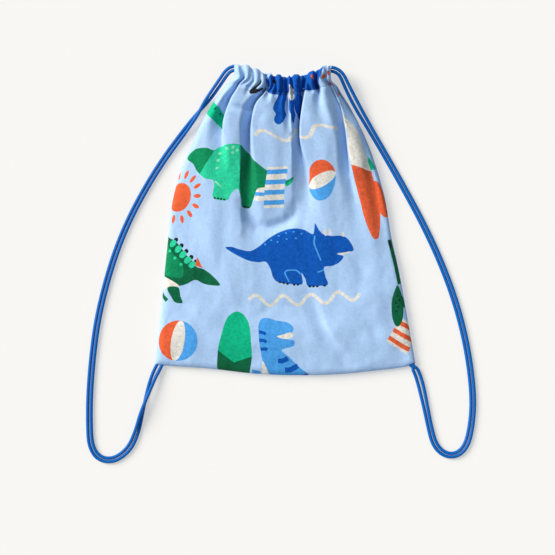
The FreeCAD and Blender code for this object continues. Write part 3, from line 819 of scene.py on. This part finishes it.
def without_facing_ends(grid, flat, triangles, colours):
    """The turned-in facing stops short of the side openings, where the cords pass."""
    middle = flat[triangles].mean(axis=1)
    place = sample(grid, middle[:, 0], middle[:, 1])
    keep = (middle[:, 1] < FACING_V) | (np.abs(place[:, 0]) < FACING_HALF_SPAN)
    return triangles[keep], colours[keep]


def boundary_loop(triangles):
    """The open edges of the flat mesh, as directed pairs."""
    edges = dict.fromkeys((int(tri[k]), int(tri[(k + 1) % 3])) for tri in triangles for k in range(3))
    return [(a, b) for a, b in edges if (b, a) not in edges]


def cloth_piece(name, grid, flat, triangles, colours, materials, outward):
    """A cloth with its thickness: the printed outside, the plain inside and the edge between."""
    u, v = flat[:, 0], flat[:, 1]
    outer = sample(grid, u, v)
    normal = sample_normals(grid, u, v) * outward
    verts = np.concatenate([outer, outer - normal * PLY]) * MM
    count = len(outer)
    faces = triangles if outward > 0 else triangles[:, ::-1]
    edge = []
    for a, b in boundary_loop(faces):
        edge += [(b, a, a + count), (b, a + count, b + count)]
    every = np.concatenate([faces, faces[:, ::-1] + count, np.array(edge)])
    mesh = bpy.data.meshes.new(name)
    mesh.vertices.add(len(verts))
    mesh.vertices.foreach_set("co", verts.ravel())
    mesh.loops.add(every.size)
    mesh.loops.foreach_set("vertex_index", every.ravel().astype(np.int32))
    mesh.polygons.add(len(every))
    mesh.polygons.foreach_set("loop_start", np.arange(0, every.size, 3, dtype=np.int32))
    mesh.polygons.foreach_set("use_smooth", np.ones(len(every), bool))
    slots = np.concatenate([colours, np.zeros(len(every) - len(colours), int)])
    mesh.polygons.foreach_set("material_index", slots.astype(np.int32))
    for material in materials:
        mesh.materials.append(material)
    layer = mesh.uv_layers.new(name="cloth")
    layer.data.foreach_set("uv", (np.tile(flat, (2, 1))[every.ravel()] / UV_SCALE).ravel())
    mesh.update(calc_edges=True)
    p, q, r = (verts[every[2 * len(faces):, k]] for k in range(3))
    edge_normal = np.cross(q - p, r - p)
    edge_normal /= np.linalg.norm(edge_normal, axis=1, keepdims=True) + 1e-12
    corners = np.concatenate([normal, -normal])[every.ravel()]
    corners[6 * len(faces):] = np.repeat(edge_normal, 3, axis=0)
    mesh.normals_split_custom_set(corners)
    return new_object(name, mesh)


# ---------------------------------------------------------------- towelling

PRINT = [
    ("sky", (169, 203, 248)),
    ("grass_green", (0, 184, 138)),
    ("deep_green", (0, 99, 64)),
    ("royal_blue", (0, 87, 188)),
    ("light_blue", (74, 161, 255)),
    ("orange", (230, 98, 58)),
    ("cream", (227, 226, 222)),
    ("navy", (10, 52, 112)),
    ("mint", (132, 230, 190)),
    ("charcoal", (24, 34, 40)),
    ("leaf_green", (0, 136, 90)),
    ("bright_green", (42, 208, 162)),
]
INDEX = {name: k for k, (name, _) in enumerate(PRINT)}


def towelling(name, rgb):
    """Sheared terry: a soft, slightly uneven pile of short loops. Printed places look more
    speckled, since the loops part and show their paler or darker feet."""
    low, high = (0.86, 1.08) if name == "sky" else (0.6, 1.26)
    material, tree, shader = new_material(f"towelling_{name}")
    where = tree.nodes.new("ShaderNodeUVMap")
    where.uv_map = "cloth"
    patches = add_node(tree, "ShaderNodeTexNoise", Scale=22.0, Detail=5.0, Roughness=0.7)
    pile = add_node(tree, "ShaderNodeTexNoise", Scale=75.0, Detail=3.0, Roughness=0.75)
    for texture in (patches, pile):
        tree.links.new(where.outputs["UV"], texture.inputs["Vector"])
    mix = add_node(tree, "ShaderNodeMix", Factor=0.45)
    mix.data_type = "FLOAT"
    tree.links.new(patches.outputs["Fac"], mix.inputs[2])
    tree.links.new(pile.outputs["Fac"], mix.inputs[3])
    colour = srgb(*rgb)
    add_colours(tree, shader, mix.outputs[0], [c * low for c in colour],
                [min(1, c * high + 0.01) for c in colour], 0.33, 0.68)
    add_bump(tree, shader, pile.outputs["Fac"], 0.8, 0.0014)
    sock(shader, "Roughness", 0.95)
    sock(shader, "Specular IOR Level", 0.05)
    sock(shader, "Sheen Weight", 0.04)
    return material


# ---------------------------------------------------------------- the print


def smooth_point(corners, t):
    """The point at t, 0 to 1, on the smooth line from the second of four points to the third."""
    return tuple(0.5 * (2 * b + (c - a) * t + (2 * a - 5 * b + 4 * c - d) * t ** 2
                        + (3 * b - a - 3 * c + d) * t ** 3)
                 for a, b, c, d in zip(*corners))


def blob(points, per_span=6):
    """A smooth closed outline through given points."""
    out = []
    for k in range(len(points)):
        corners = [points[(k + m) % len(points)] for m in (-1, 0, 1, 2)]
        out += [smooth_point(corners, step / per_span) for step in range(per_span)]
    return out


def sharp(points, gap=2.5):
    """An outline with straight sides, with points along them."""
    out = []
    for k, (x0, y0) in enumerate(points):
        x1, y1 = points[(k + 1) % len(points)]
        parts = max(1, int(math.hypot(x1 - x0, y1 - y0) / gap))
        out += [(x0 + (x1 - x0) * m / parts, y0 + (y1 - y0) * m / parts) for m in range(parts)]
    return out


def spun(points, turn):
    """The points turned round the middle by an angle in degrees."""
    c, s = math.cos(math.radians(turn)), math.sin(math.radians(turn))
    return [(x * c - y * s, x * s + y * c) for x, y in points]


def oval(cx, cy, rx, ry, turn=0.0, count=28):
    """An oval outline round a middle, with its two radii, turned by an angle in degrees."""
    angles = [2 * math.pi * k / count for k in range(count)]
    ring = spun([(rx * math.cos(a), ry * math.sin(a)) for a in angles], turn)
    return [(cx + x, cy + y) for x, y in ring]


def spots(colour, places, rx, ry, turn=0.0, count=12):
    """The same oval at several places."""
    return [(colour, oval(x, y, rx, ry, turn, count)) for x, y in places]


def stroke(points, width, per_span=6):
    """A band of even width along a smooth open line."""
    ends = len(points) - 1
    line = []
    for k in range(ends):
        corners = [points[min(max(k + m, 0), ends)] for m in (-1, 0, 1, 2)]
        line += [smooth_point(corners, step / per_span) for step in range(per_span)]
    line.append(points[-1])
    left, right = [], []
    for k, (x, y) in enumerate(line):
        (ax, ay), (bx, by) = around(line, k)
        long = math.hypot(bx - ax, by - ay) or 1
        nx, ny = -(by - ay) / long * width / 2, (bx - ax) / long * width / 2
        left.append((x + nx, y + ny))
        right.append((x - nx, y - ny))
    return left + right[::-1]


def green_dinosaur():
    """A plain four-legged dinosaur seen from the side, head to the left."""
    body = [(-54, 17), (-51, 25), (-43, 30), (-30, 31), (-20, 29), (-12, 35), (2, 40), (16, 42),
            (28, 38), (42, 31), (56, 23), (70, 15), (86, 7), (102, 1), (113, 6), (106, -4),
            (88, -8), (74, -9), (64, -12), (60, -24), (56, -37), (43, -37), (39, -26), (31, -15),
            (24, -22), (19, -32), (0, -32), (-2, -18), (-6, -9), (-18, -8), (-32, 0), (-42, 10)]
    ring = blob(body)
    head = [(x, y) for x, y in ring if x < -26 + 0.25 * y]
    hind = [(x, y) for x, y in ring if x > 29 - 0.29 * y]
    shapes = [("bright_green", ring), ("leaf_green", head), ("leaf_green", hind)]
    for x, y, r in [(0, 34, 2.6), (8, 37, 2.6), (14, 34, 2.2), (9, 30, 2.4), (-10, 26, 2.4),
                    (-9, 17, 2.6), (-6, 7, 2.2)]:
        shapes.append(("mint", oval(x, y, r, r * 0.8, 20, 12)))
    shapes.append(("mint", stroke([(-3, -10), (3, -13), (8, -16)], 2.4)))
    toes = [(x, -31.5) for x in (2, 6.5, 11, 15.5)] + [(x, -36.5) for x in (45, 49, 53)]
    return shapes + spots("charcoal", toes, 1.8, 1.3, 0, 10)


def band(left, right, low, high):
    """An upright rectangle."""
    return sharp([(left, low), (right, low), (right, high), (left, high)])


def striped_towel(width, height, stripes, colour):
    """A small towel with stripes across."""
    side = width / 2
    shapes = [("cream", band(-side, side, -height / 2, height / 2))]
    pitch = height / stripes
    for k in range(stripes):
        low = -height / 2 + (k + 0.28) * pitch
        shapes.append((colour, band(-side, side, low, low + 0.46 * pitch)))
    return shapes


def sun(rays=14):
    """A disc with a ring of oval rays."""
    shapes = [("orange", oval(0, 0, 19, 19))]
    for k in range(rays):
        turn = 360 * k / rays + 5
        x, y = spun([(29 + k % 2, 0)], turn)[0]
        shapes.append(("orange", oval(x, y, 5.6, 2.7, turn, 18)))
    return shapes


def ball(radius, turn):
    """A beach ball in three panels."""
    shapes = [("cream", oval(0, 0, radius, radius, 0, 40))]
    for side, colour in ((-1, "orange"), (1, "light_blue")):
        rim = [(side * radius * math.sin(math.radians(a)), radius * math.cos(math.radians(a)))
               for a in range(6, 175, 8)]
        seam = [(side * radius * 0.34 * math.sin(math.radians(a)), radius * math.cos(math.radians(a)))
                for a in range(174, 5, -8)]
        shapes.append((colour, spun(rim + seam, turn)))
    return shapes


def blue_dinosaur():
    """A plain horned, heavy-bodied dinosaur seen from the side, head to the right."""
    body = [(-83, 8), (-75, 10), (-63, 8), (-51, 8), (-40, 15), (-26, 27), (-10, 36), (7, 40),
            (20, 38), (30, 32), (33, 38), (35, 46), (39, 37), (44, 31), (54, 28), (66, 27), (75, 21),
            (80, 6), (70, 5), (58, 4), (66, 0), (60, -7), (50, -11), (40, -12), (40, -24),
            (42, -35), (30, -36), (18, -36), (15, -26), (11, -19), (11, -33), (-2, -33), (-18, -31),
            (-24, -25), (-27, -14), (-32, -5), (-42, -6), (-54, -5), (-68, 0), (-77, 4)]
    shapes = [("royal_blue", blob(body))]
    shapes.append(("light_blue", stroke([(33, 30), (31, 20), (34, 8), (37, -3)], 2.0)))
    shapes.append(("light_blue", stroke([(-5, -30), (-9, -17), (4, -15), (10, -20)], 1.8)))
    shapes.append(("cream", stroke([(60, 4), (67, 3.4), (75, 4.4)], 2.2)))
    shapes.append(("light_blue", stroke([(31, -18), (35, -17), (39, -15.5)], 1.6)))
    for x, y, size in [(46.5, 33, 4.2), (52.5, 33.5, 4.6), (69, 28.5, 3.2)]:
        shapes.append(("cream", oval(x, y, 1.9, size, 0, 14)))
    back = [(-32, 18), (-24, 24), (-14, 30), (-4, 34), (6, 35.5), (16, 33), (-16, 22), (-4, 26), (8, 27)]
    shapes += spots("light_blue", back, 1.4, 1.0, 10, 10)
    toes = [(-16, -31), (-11.5, -32), (-7, -33), (1, -34), (5.5, -34),
            (20, -36.5), (24.5, -36.5), (29, -36.5), (38, -36)]
    return shapes + spots("charcoal", toes, 1.7, 1.4, 0, 10)


def wave_line(length, height, bends, start=0.5):
    """A wavy line. start is the share of its length that lies left of its place."""
    steps = round(bends * 8)
    points = [(length * (k / steps - start), height / 2 * math.sin(2 * math.pi * k / 8))
              for k in range(steps + 1)]
    return [("cream", stroke(points, 4.2))]


def surfboard(length, width, upper, lower, split, slant=0.0, notch=0.0, round_top=False):
    """A board in two colours, parted by a slanting line or, with a notch, by a V."""
    half = length / 2
    shoulder, height = (0.32, 0.8) if round_top else (0.26, 0.72)
    side = [(width * shoulder, half * height), (width * 0.46, half * 0.3), (width * 0.5, -half * 0.1),
            (width * 0.42, -half * 0.6), (width * 0.2, -half * 0.93)]
    ring = blob([(0, half)] + side + [(0, -half)] + [(-x, y) for x, y in side[::-1]], 8)
    cut = [(x, y) for x, y in ring if y < split + slant * x + notch * abs(x)]
    if notch:
        cut.append((0, split))
    return [(upper, ring), (lower, cut)]


def spiked_dinosaur():
    """A low dinosaur with a row of back plates, head to the right."""
    body = [(-48, 38), (-31, 34), (-21, 29), (-12, 20), (-5, 12), (2, 6), (9, -2), (18, -4),
            (30, -11), (41, -22), (30, -24), (19, -23), (8, -19), (-3, -25), (-14, -28), (-27, -23),
            (-42, -15), (-60, -10), (-60, 20)]
    flank = [(-60, 24), (-36, 26), (-24, 14), (-10, 0), (-10, -16), (-24, -17), (-40, -13), (-60, -9)]
    belly = [(-50, -14), (-31, -18), (-15, -26), (-14, -30), (-28, -32), (-50, -31)]
    leg = [(-28, -31), (-14, -30), (-10, -42), (-7, -50), (-16, -50), (-22, -43)]
    shapes = [("deep_green", blob(body)), ("leaf_green", blob(flank))]
    for x, y, turn in [(-25.5, 27, 52), (-17.5, 20, 48), (-10.5, 13, 46), (-3.5, 6, 42), (3, 0.5, 40)]:
        tip_x, tip_y = spun([(6.4, 0)], turn)[0]
        shapes.append(("charcoal", oval(x + tip_x, y + tip_y, 3.0, 3.0, turn, 14)))
        shapes.append(("bright_green", oval(x, y, 5.4, 3.9, turn, 20)))
    shapes += spots("bright_green", [(-29, 17), (-21, 8), (-12, 0)], 2.2, 2.0)
    shapes.append(("orange", sharp([(7, 0), (9.5, 11), (17, -3)])))
    shapes += [("cream", blob(belly)), ("deep_green", blob(leg))]
    shapes.append(("deep_green", stroke([(-40, -34), (-34, -42), (-27, -48)], 5)))
    return shapes


def spotted_leaf():
    """A long leaf with dark spots and a small side leaf."""
    shapes = surfboard(53, 17, "deep_green", "deep_green", 0)
    shapes.append(("deep_green", oval(8.5, 4, 2.4, 8, 12)))
    return shapes + spots("charcoal", [(0, 13), (2.5, 7), (-2.5, 4), (1, -1), (-2, -7)], 1.5, 1.5)


def blue_lizard():
    """An upright striped dinosaur that the bottom seam cuts off."""
    body = [(-36, 42), (-28, 45), (-14, 42), (0, 40), (8, 34), (6, 27), (-4, 24), (-12, 22), (0, 18),
            (9, 16), (8, 9), (-2, 6), (-8, 3), (2, -6), (14, -18), (28, -30), (44, -46),
            (-28, -46), (-30, -30), (-34, -10), (-38, 14), (-39, 32)]
    shapes = [("light_blue", blob(body))]
    shapes.append(("cream", blob([(-14, 21), (-6, 24), (5, 27), (8, 22), (-2, 18)])))
    for points, width in (([(0, -7), (-7, -11), (-13, -11)], 6.5), ([(13, -17), (4, -22), (-4, -23)], 7.0),
                          ([(26, -30), (16, -33), (8, -34)], 6.0), ([(-38, 26), (-32, 25), (-29, 23)], 4.5),
                          ([(-38, 15), (-32, 15), (-28, 13)], 4.5), ([(-36, 3), (-30, 4), (-27, 3)], 4.5)):
        shapes.append(("royal_blue", stroke(points, width)))
    shapes.append(("royal_blue", blob([(24, -34), (34, -38), (46, -48), (14, -48)])))
    shapes.append(("cream", blob([(-34, -12), (-28, -22), (-22, -40), (-32, -46), (-34, -30)])))
    shapes.append(("light_blue", sharp([(-47, -24), (-36, -26), (-37, -34), (-47, -32)])))
    return shapes


def place(shapes, grid, x, y, stretch=1.0, turn=0.0):
    """Puts a motif on the flat cloth so that its middle lies at plan place x, y of the finished bag.
    A motif that runs over the cloth's edge is cut off there."""
    top = int(GRID_V * STITCH_V / CLOTH_HEIGHT) + 8
    gap = (grid[:top, :, 0] - x) ** 2 + (grid[:top, :, 1] - y) ** 2
    j, i = np.unravel_index(np.argmin(gap), gap.shape)
    u0 = CLOTH_WIDTH * i / (GRID_U - 1)
    v0 = CLOTH_HEIGHT * j / (GRID_V - 1)
    placed = []
    for colour, outline in shapes:
        ring = [(u0 + px * stretch, v0 + py) for px, py in spun(outline, turn)]
        us = [u for u, _ in ring]
        vs = [v for _, v in ring]
        if max(us) < 0.5 or min(us) > CLOTH_WIDTH - 0.5 or max(vs) < 0.5 or min(vs) > CLOTH_HEIGHT:
            continue
        ring = [(min(max(u, 0.0), CLOTH_WIDTH), min(max(v, 0.0), CLOTH_HEIGHT)) for u, v in ring]
        placed.append((INDEX[colour], ring))
    return placed


def mouth_print(grid):
    """What shows at the gathered mouth: the body and legs of a blue animal, a claw and a spotted
    green tail."""
    body = [(-104, -4), (-70, 12), (-40, 21), (0, 23), (60, 22), (96, 14), (88, -8),
            (60, -15), (20, -13), (-30, -14), (-70, -17)]
    leg = blob([(-9, 22), (9, 22), (11, 0), (8, -16), (0, -22), (-8, -17), (-11, -2)])
    claw = blob([(-12, 8), (-7, 8), (-3, -1), (5, 9), (9, 10), (6, -1), (0, -9), (-7, -8)])
    shapes = place([("royal_blue", blob(body))], grid, 11, 174)
    for x, y, stretch, turn in [(-6, 141, 0.95, 0), (8, 142, 0.6, -10), (18, 147, 1.0, 4)]:
        shapes += place([("royal_blue", leg)], grid, x, y, stretch, turn)
    shapes += place([("cream", oval(0, 0, 5, 11, 12, 20))], grid, 9, 160, 1.4)
    shapes += place([("charcoal", claw)], grid, -35, 163, 0.8, -35)
    shapes += place(spots("charcoal", [(0, 0)], 3, 3.4, 0, 14), grid, -11, 183, 1.6)
    shapes += place([("grass_green", stroke([(-26, 9), (-6, 1), (12, -9), (26, -16)], 15))], grid, -86, 137)
    for x, y in [(-94, 143), (-87, 139), (-81, 133)]:
        shapes += place(spots("deep_green", [(0, 0)], 1.8, 1.8), grid, x, y)
    return shapes


def front_print(grid):
    """The front cloth's print. Where two motifs lap, the later one is on top."""
    towel_corner = [("cream", band(-8, 9, -9, 9)), ("light_blue", band(-8, 9, -2.6, 2.2))]
    tail_tip = [("grass_green", blob([(-5, -5), (0, -1), (6, 6), (5, -1), (0, -6)]))]
    stem = [("deep_green", stroke([(-7.5, 30), (-7, 10), (-6.5, -10), (-6, -29)], 6.5)),
            ("charcoal", oval(-8, 24, 1.6, 6))]
    shapes = []
    for motif, x, y, stretch, turn in [
            (wave_line(150, 13, 2.625, 0.34), 7, 105, 1.0, 3),
            (wave_line(156, 13, 4), 25, -102, 1.0, 2),
            (sun(), -134, 28, 1.0, 0),
            (towel_corner, -32, 33, 1.0, 0),
            (green_dinosaur(), -83, 57, 1.08, 0),
            (striped_towel(31, 54, 4, "light_blue"), -12.5, 40, 1.0, 4),
            (tail_tip, 6, 48, 1.0, 0),
            (ball(26.5, -75), 47, 50, 0.84, 0),
            ([("grass_green", sharp([(-7, -9), (6, -9), (-4, 10)]))], 111, 72, 1.0, 0),
            ([("orange", oval(0, 0, 11, 25, 10))], 123, 25, 1.0, 0),
            (surfboard(165, 31, "cream", "orange", 12, -0.36), 100.5, 55, 1.0, 2),
            (blue_dinosaur(), 9, -50, 1.17, 0),
            (spiked_dinosaur(), -120, -57, 1.08, 0),
            (ball(26.5, -6), -136, -154, 1.0, 0),
            (surfboard(112, 45, "grass_green", "deep_green", -12, 0, 0.6, True), -63, -170, 1.0, -4),
            (blue_lizard(), 4, -169, 1.0, 0)]:
        shapes += place(motif, grid, x, y, stretch, turn)
    shapes += mouth_print(grid)
    shapes += place(stem, grid, 143.5, -54)
    shapes += place(striped_towel(33, 36, 3, "orange"), grid, 152, -146.5, 1.0, -40)
    shapes += place(spotted_leaf(), grid, 143, -109, 1.0, -9)
    for x, y, turn in [(31.5, 187, 70), (50, 180, 20), (58, 171, 20), (68.5, 160, 50), (55.5, 190, -60)]:
        shapes += place(spots("orange", [(0, 0)], 4.4, 2.5, turn, 16), grid, x, y, 1.4)
    return shapes


def back_print(grid):
    """The back cloth's print: the same motifs, scattered differently."""
    shapes = []
    for motif, x, y, turn in [
            (sun(), -92, 96, 0),
            (green_dinosaur(), 58, 78, 0),
            (ball(25, 30), -20, 60, 0),
            (wave_line(170, 10, 5), -40, 8, 0),
            (blue_dinosaur(), -64, -52, 0),
            (surfboard(120, 42, "cream", "orange", -6, 0.2), 68, -58, -24),
            (striped_towel(44, 56, 5, "light_blue"), 126, -98, 14),
            (wave_line(150, 10, 5), 10, -118, 0),
            (surfboard(118, 42, "grass_green", "deep_green", -30), -126, -150, 8),
            (ball(24, -50), -52, -158, 0),
            (striped_towel(40, 40, 3, "orange"), 34, -164, -12),
            (surfboard(90, 22, "deep_green", "grass_green", 0), -10, 146, 70)]:
        shapes += place(motif, grid, x, y, 1.0, turn)
    return shapes


def make_panel(name, section, seed, printed, outward, step, materials, nodes):
    """One printed cloth of the bag, with its turned-in edge at the mouth."""
    grid = crumple(cloth_grid(section), seed, outward)
    flat, triangles, colours = flat_mesh(printed(grid), step)
    triangles, colours = without_facing_ends(grid, flat, triangles, colours)
    piece = cloth_piece(name, grid, flat, triangles, colours, materials, outward)
    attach(piece, "bag")
    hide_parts(*nodes)
    return grid, piece


# ---------------------------------------------------------------- thread and small pieces


def woven_material(name, direction, scale, distortion, low, high, bump, roughness):
    """A plain material with a fine, even weave, dark and light by turns."""
    material, tree, shader = new_material(name)
    where = tree.nodes.new("ShaderNodeTexCoord")
    weave = add_node(tree, "ShaderNodeTexWave", Scale=scale, Distortion=distortion)
    weave.bands_direction = direction
    tree.links.new(where.outputs["Object"], weave.inputs["Vector"])
    add_colours(tree, shader, weave.outputs["Fac"], low, high)
    add_bump(tree, shader, weave.outputs["Fac"], bump, 0.0001)
    sock(shader, "Roughness", roughness)
    return material


def thread_material():
    """Twisted sewing thread, a shade deeper than the cloth."""
    return woven_material("sewing_thread", "DIAGONAL", 900.0, 1.5,
                          srgb(92, 138, 196), srgb(140, 180, 228), 0.4, 0.55)


def label_material():
    """Plain woven satin tape with nothing on it."""
    return woven_material("label_tape", "X", 500.0, 0.6, (0.76, 0.76, 0.72), (0.88, 0.88, 0.85), 0.3, 0.5)


def thread_runs(name, runs, radius, sides=6):
    """Many short threads as one mesh: each run is a list of points in mm."""
    verts = []
    faces = []
    for run in runs:
        faces += tube_faces(len(verts), len(run), sides)
        for k, p in enumerate(run):
            before, after = (Vector(near) for near in around(run, k))
            heading = (after - before).normalized()
            side = heading.cross(Vector((0.13, 0.21, 1))).normalized()
            up = side.cross(heading)
            thick = radius * (0.55 if k in (0, len(run) - 1) else 1)
            for j in range(sides):
                turn = 2 * math.pi * j / sides
                verts.append((Vector(p) + side * thick * math.cos(turn) + up * thick * math.sin(turn)) * MM)
    mesh = bpy.data.meshes.new(name)
    mesh.from_pydata(verts, [], faces, shade_flat=False)
    return new_object(name, mesh)


def finish_piece(piece, material, slot, *nodes):
    """Gives a piece that stays with the bag its material, puts it with the bag and hides its CAD nodes. The
    slot argument is not used.
    """
    piece.data.materials.append(material)
    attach(piece, "bag")
    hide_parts(*nodes)


def casing_stitches(name, grid, outward, material, node):
    """The row of machine stitches that holds the casing down, one by one along the gathers."""
    lift = np.array([-0.25, 0.18, 0.18, -0.25])[:, None]
    runs = []
    u = 6.0
    while u < CLOTH_WIDTH - 8:
        us = np.linspace(u, u + STITCH_LENGTH, len(lift))
        vs = np.full(len(lift), STITCH_V)
        points = sample(grid, us, vs)
        normals = sample_normals(grid, us, vs) * outward
        runs.append([tuple(p) for p in points + normals * lift])
        u += STITCH_PITCH
    finish_piece(thread_runs(name, runs, 0.24), material, "thread", node)


def soft_strip(name, low_points, high_points, low_z, high_z, waves):
    """A strip of cloth between two lines of points, with rounded, slightly wavy edges."""
    a = smooth_line([(x, y, 0) for x, y in low_points], 5)
    b = smooth_line([(x, y, 0) for x, y in high_points], 5)
    profile = [(0.0, 0.5), (0.06, 0.9), (0.25, 1.0), (0.5, 0.94), (0.75, 1.0), (0.94, 0.9),
               (1.0, 0.5), (0.94, 0.1), (0.75, 0.0), (0.5, 0.0), (0.25, 0.0), (0.06, 0.1)]
    verts = []
    for k, (p, q) in enumerate(zip(a, b)):
        wave = 0.06 * math.sin(k * waves)
        height = (high_z - low_z) * (0.94 + 0.06 * math.sin(k * waves * 0.7))
        for across, rise in profile:
            spot = p.lerp(q, min(max(across + wave * across, 0), 1))
            verts.append((spot.x * MM, spot.y * MM, (low_z + height * rise) * MM))
    mesh = bpy.data.meshes.new(name)
    mesh.from_pydata(verts, [], tube_faces(0, len(a), len(profile)), shade_flat=False)
    layer = mesh.uv_layers.new(name="cloth")
    for loop in mesh.loops:
        v = mesh.vertices[loop.vertex_index].co
        layer.data[loop.index].uv = (v.x * 10 + v.z * 10, v.y * 10 + v.z * 6)
    mesh.update()
    return new_object(name, mesh)


def overlock(points, high_z, low_z):
    """Loops of thread over a raw edge."""
    line = smooth_line([(x, y, 0) for x, y in points], 14)
    zigzag = []
    for k, p in enumerate(line):
        before, after = around(line, k)
        heading = (after - before).normalized()
        spot = p + Vector((-heading.y, heading.x, 0)) * (1.3 if k % 2 else -0.3)
        zigzag.append((spot.x, spot.y, high_z if k % 4 < 2 else low_z))
    return zigzag


def seam_allowances(cloth, thread):
    """The folded, overlocked cloth inside the side and bottom seams."""
    side_ys = (-154, -102, -58, -25, 31, 70, 102, 134)
    bottom_xs = (-138, -86, -43, 0, 20, 43, 85, 138)
    strips = []
    for name, edge, inward in (("left_side", LEFT_SEAM, 1), ("right_side", RIGHT_SEAM, -1)):
        seam = [(np.interp(y, *zip(*edge)), y) for y in side_ys]
        strips.append((name, *[[(x + inward * inset, y) for x, y in seam] for inset in ALLOWANCE]))
    seam = [(x, np.interp(x, *zip(*BOTTOM_EDGE))) for x in bottom_xs]
    strips.append(("bottom", *[[(x, y + inset) for x, y in seam] for inset in ALLOWANCE]))
    for name, outer, inner in strips:
        strip = soft_strip(f"{name}_seam_strip", outer, inner, 2.65, 4.7, 0.9)
        finish_piece(strip, cloth, "towelling", f"{name}_seam_allowance")
        edge_thread = thread_runs(f"{name}_overlock", [overlock(inner, 4.75, 2.75)], 0.22)
        edge_thread.data.materials.append(thread)
        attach(edge_thread, "bag")


def node_box(node):
    """The low and high corners of a CAD node, in mm."""
    return [Vector(corner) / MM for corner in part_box(node)]


def opening_hems(cloth):
    """The narrow hem along each ply at the side openings."""
    for name in ("front_left", "front_right", "back_left", "back_right"):
        node = f"{name}_opening_hem"
        low, high = node_box(node)
        ys = [low.y + (high.y - low.y) * k / 5 for k in range(6)]
        sides = [[(low.x + 0.2, y) for y in ys], [(high.x - 0.2, y) for y in ys]]
        if name in ("front_right", "back_left"):
            sides.reverse()
        hem = soft_strip(f"{name}_hem", *sides, low.z + 0.8, high.z - 0.8, 1.1)
        finish_piece(hem, cloth, "towelling", node)


def corner_bartacks(thread):
    """Dense zigzag stitching across the two sewn cord ends in each bottom corner."""
    turns = 24
    for side in ("left", "right"):
        low, high = node_box(f"{side}_corner_bartack")
        runs = []
        for row in (0.25, 0.75):
            y = low.y + (high.y - low.y) * row
            runs.append([(low.x + (high.x - low.x) * k / turns, y + (0.7 if k % 2 else -0.7), high.z - 0.05)
                         for k in range(turns + 1)])
        bartack = thread_runs(f"{side}_corner_stitches", runs, 0.17)
        finish_piece(bartack, thread, "thread", f"{side}_corner_bartack")


def care_tag(tape):
    """A small blank tape label, slightly curled."""
    low, high = node_box("care_label")
    xs = [low.x + (high.x - low.x) * k / 5 for k in range(6)]
    tag = soft_strip("care_tag", [(x, low.y + 0.3) for x in xs], [(x, high.y - 0.3) for x in xs],
                     low.z, high.z, 0.5)
    finish_piece(tag, tape, "label", "care_label")


make_camera()
make_floor()
make_lights()
satin = cord_material()
make_cord("left", LEFT_PAIR, LEFT_CHANNEL, LEFT_TAILS, 1, satin)
make_cord("right", RIGHT_PAIR, RIGHT_CHANNEL, RIGHT_TAILS, -1, satin)
terry = [towelling(name, rgb) for name, rgb in PRINT]
front_surface, front = make_panel("front_cloth", front_section, 3.0, front_print, 1, 2.8, terry,
                                  ["front_panel", "front_casing_facing"])
back_surface, back = make_panel("back_cloth", back_section, 9.0, back_print, -1, 4.0, terry,
                                ["back_panel", "back_casing_facing"])
thread = thread_material()
casing_stitches("front_stitches", front_surface, 1, thread, "front_casing_stitching")
casing_stitches("back_stitches", back_surface, -1, thread, "back_casing_stitching")
seam_allowances(terry[0], thread)
opening_hems(terry[0])
corner_bartacks(thread)
care_tag(label_material())
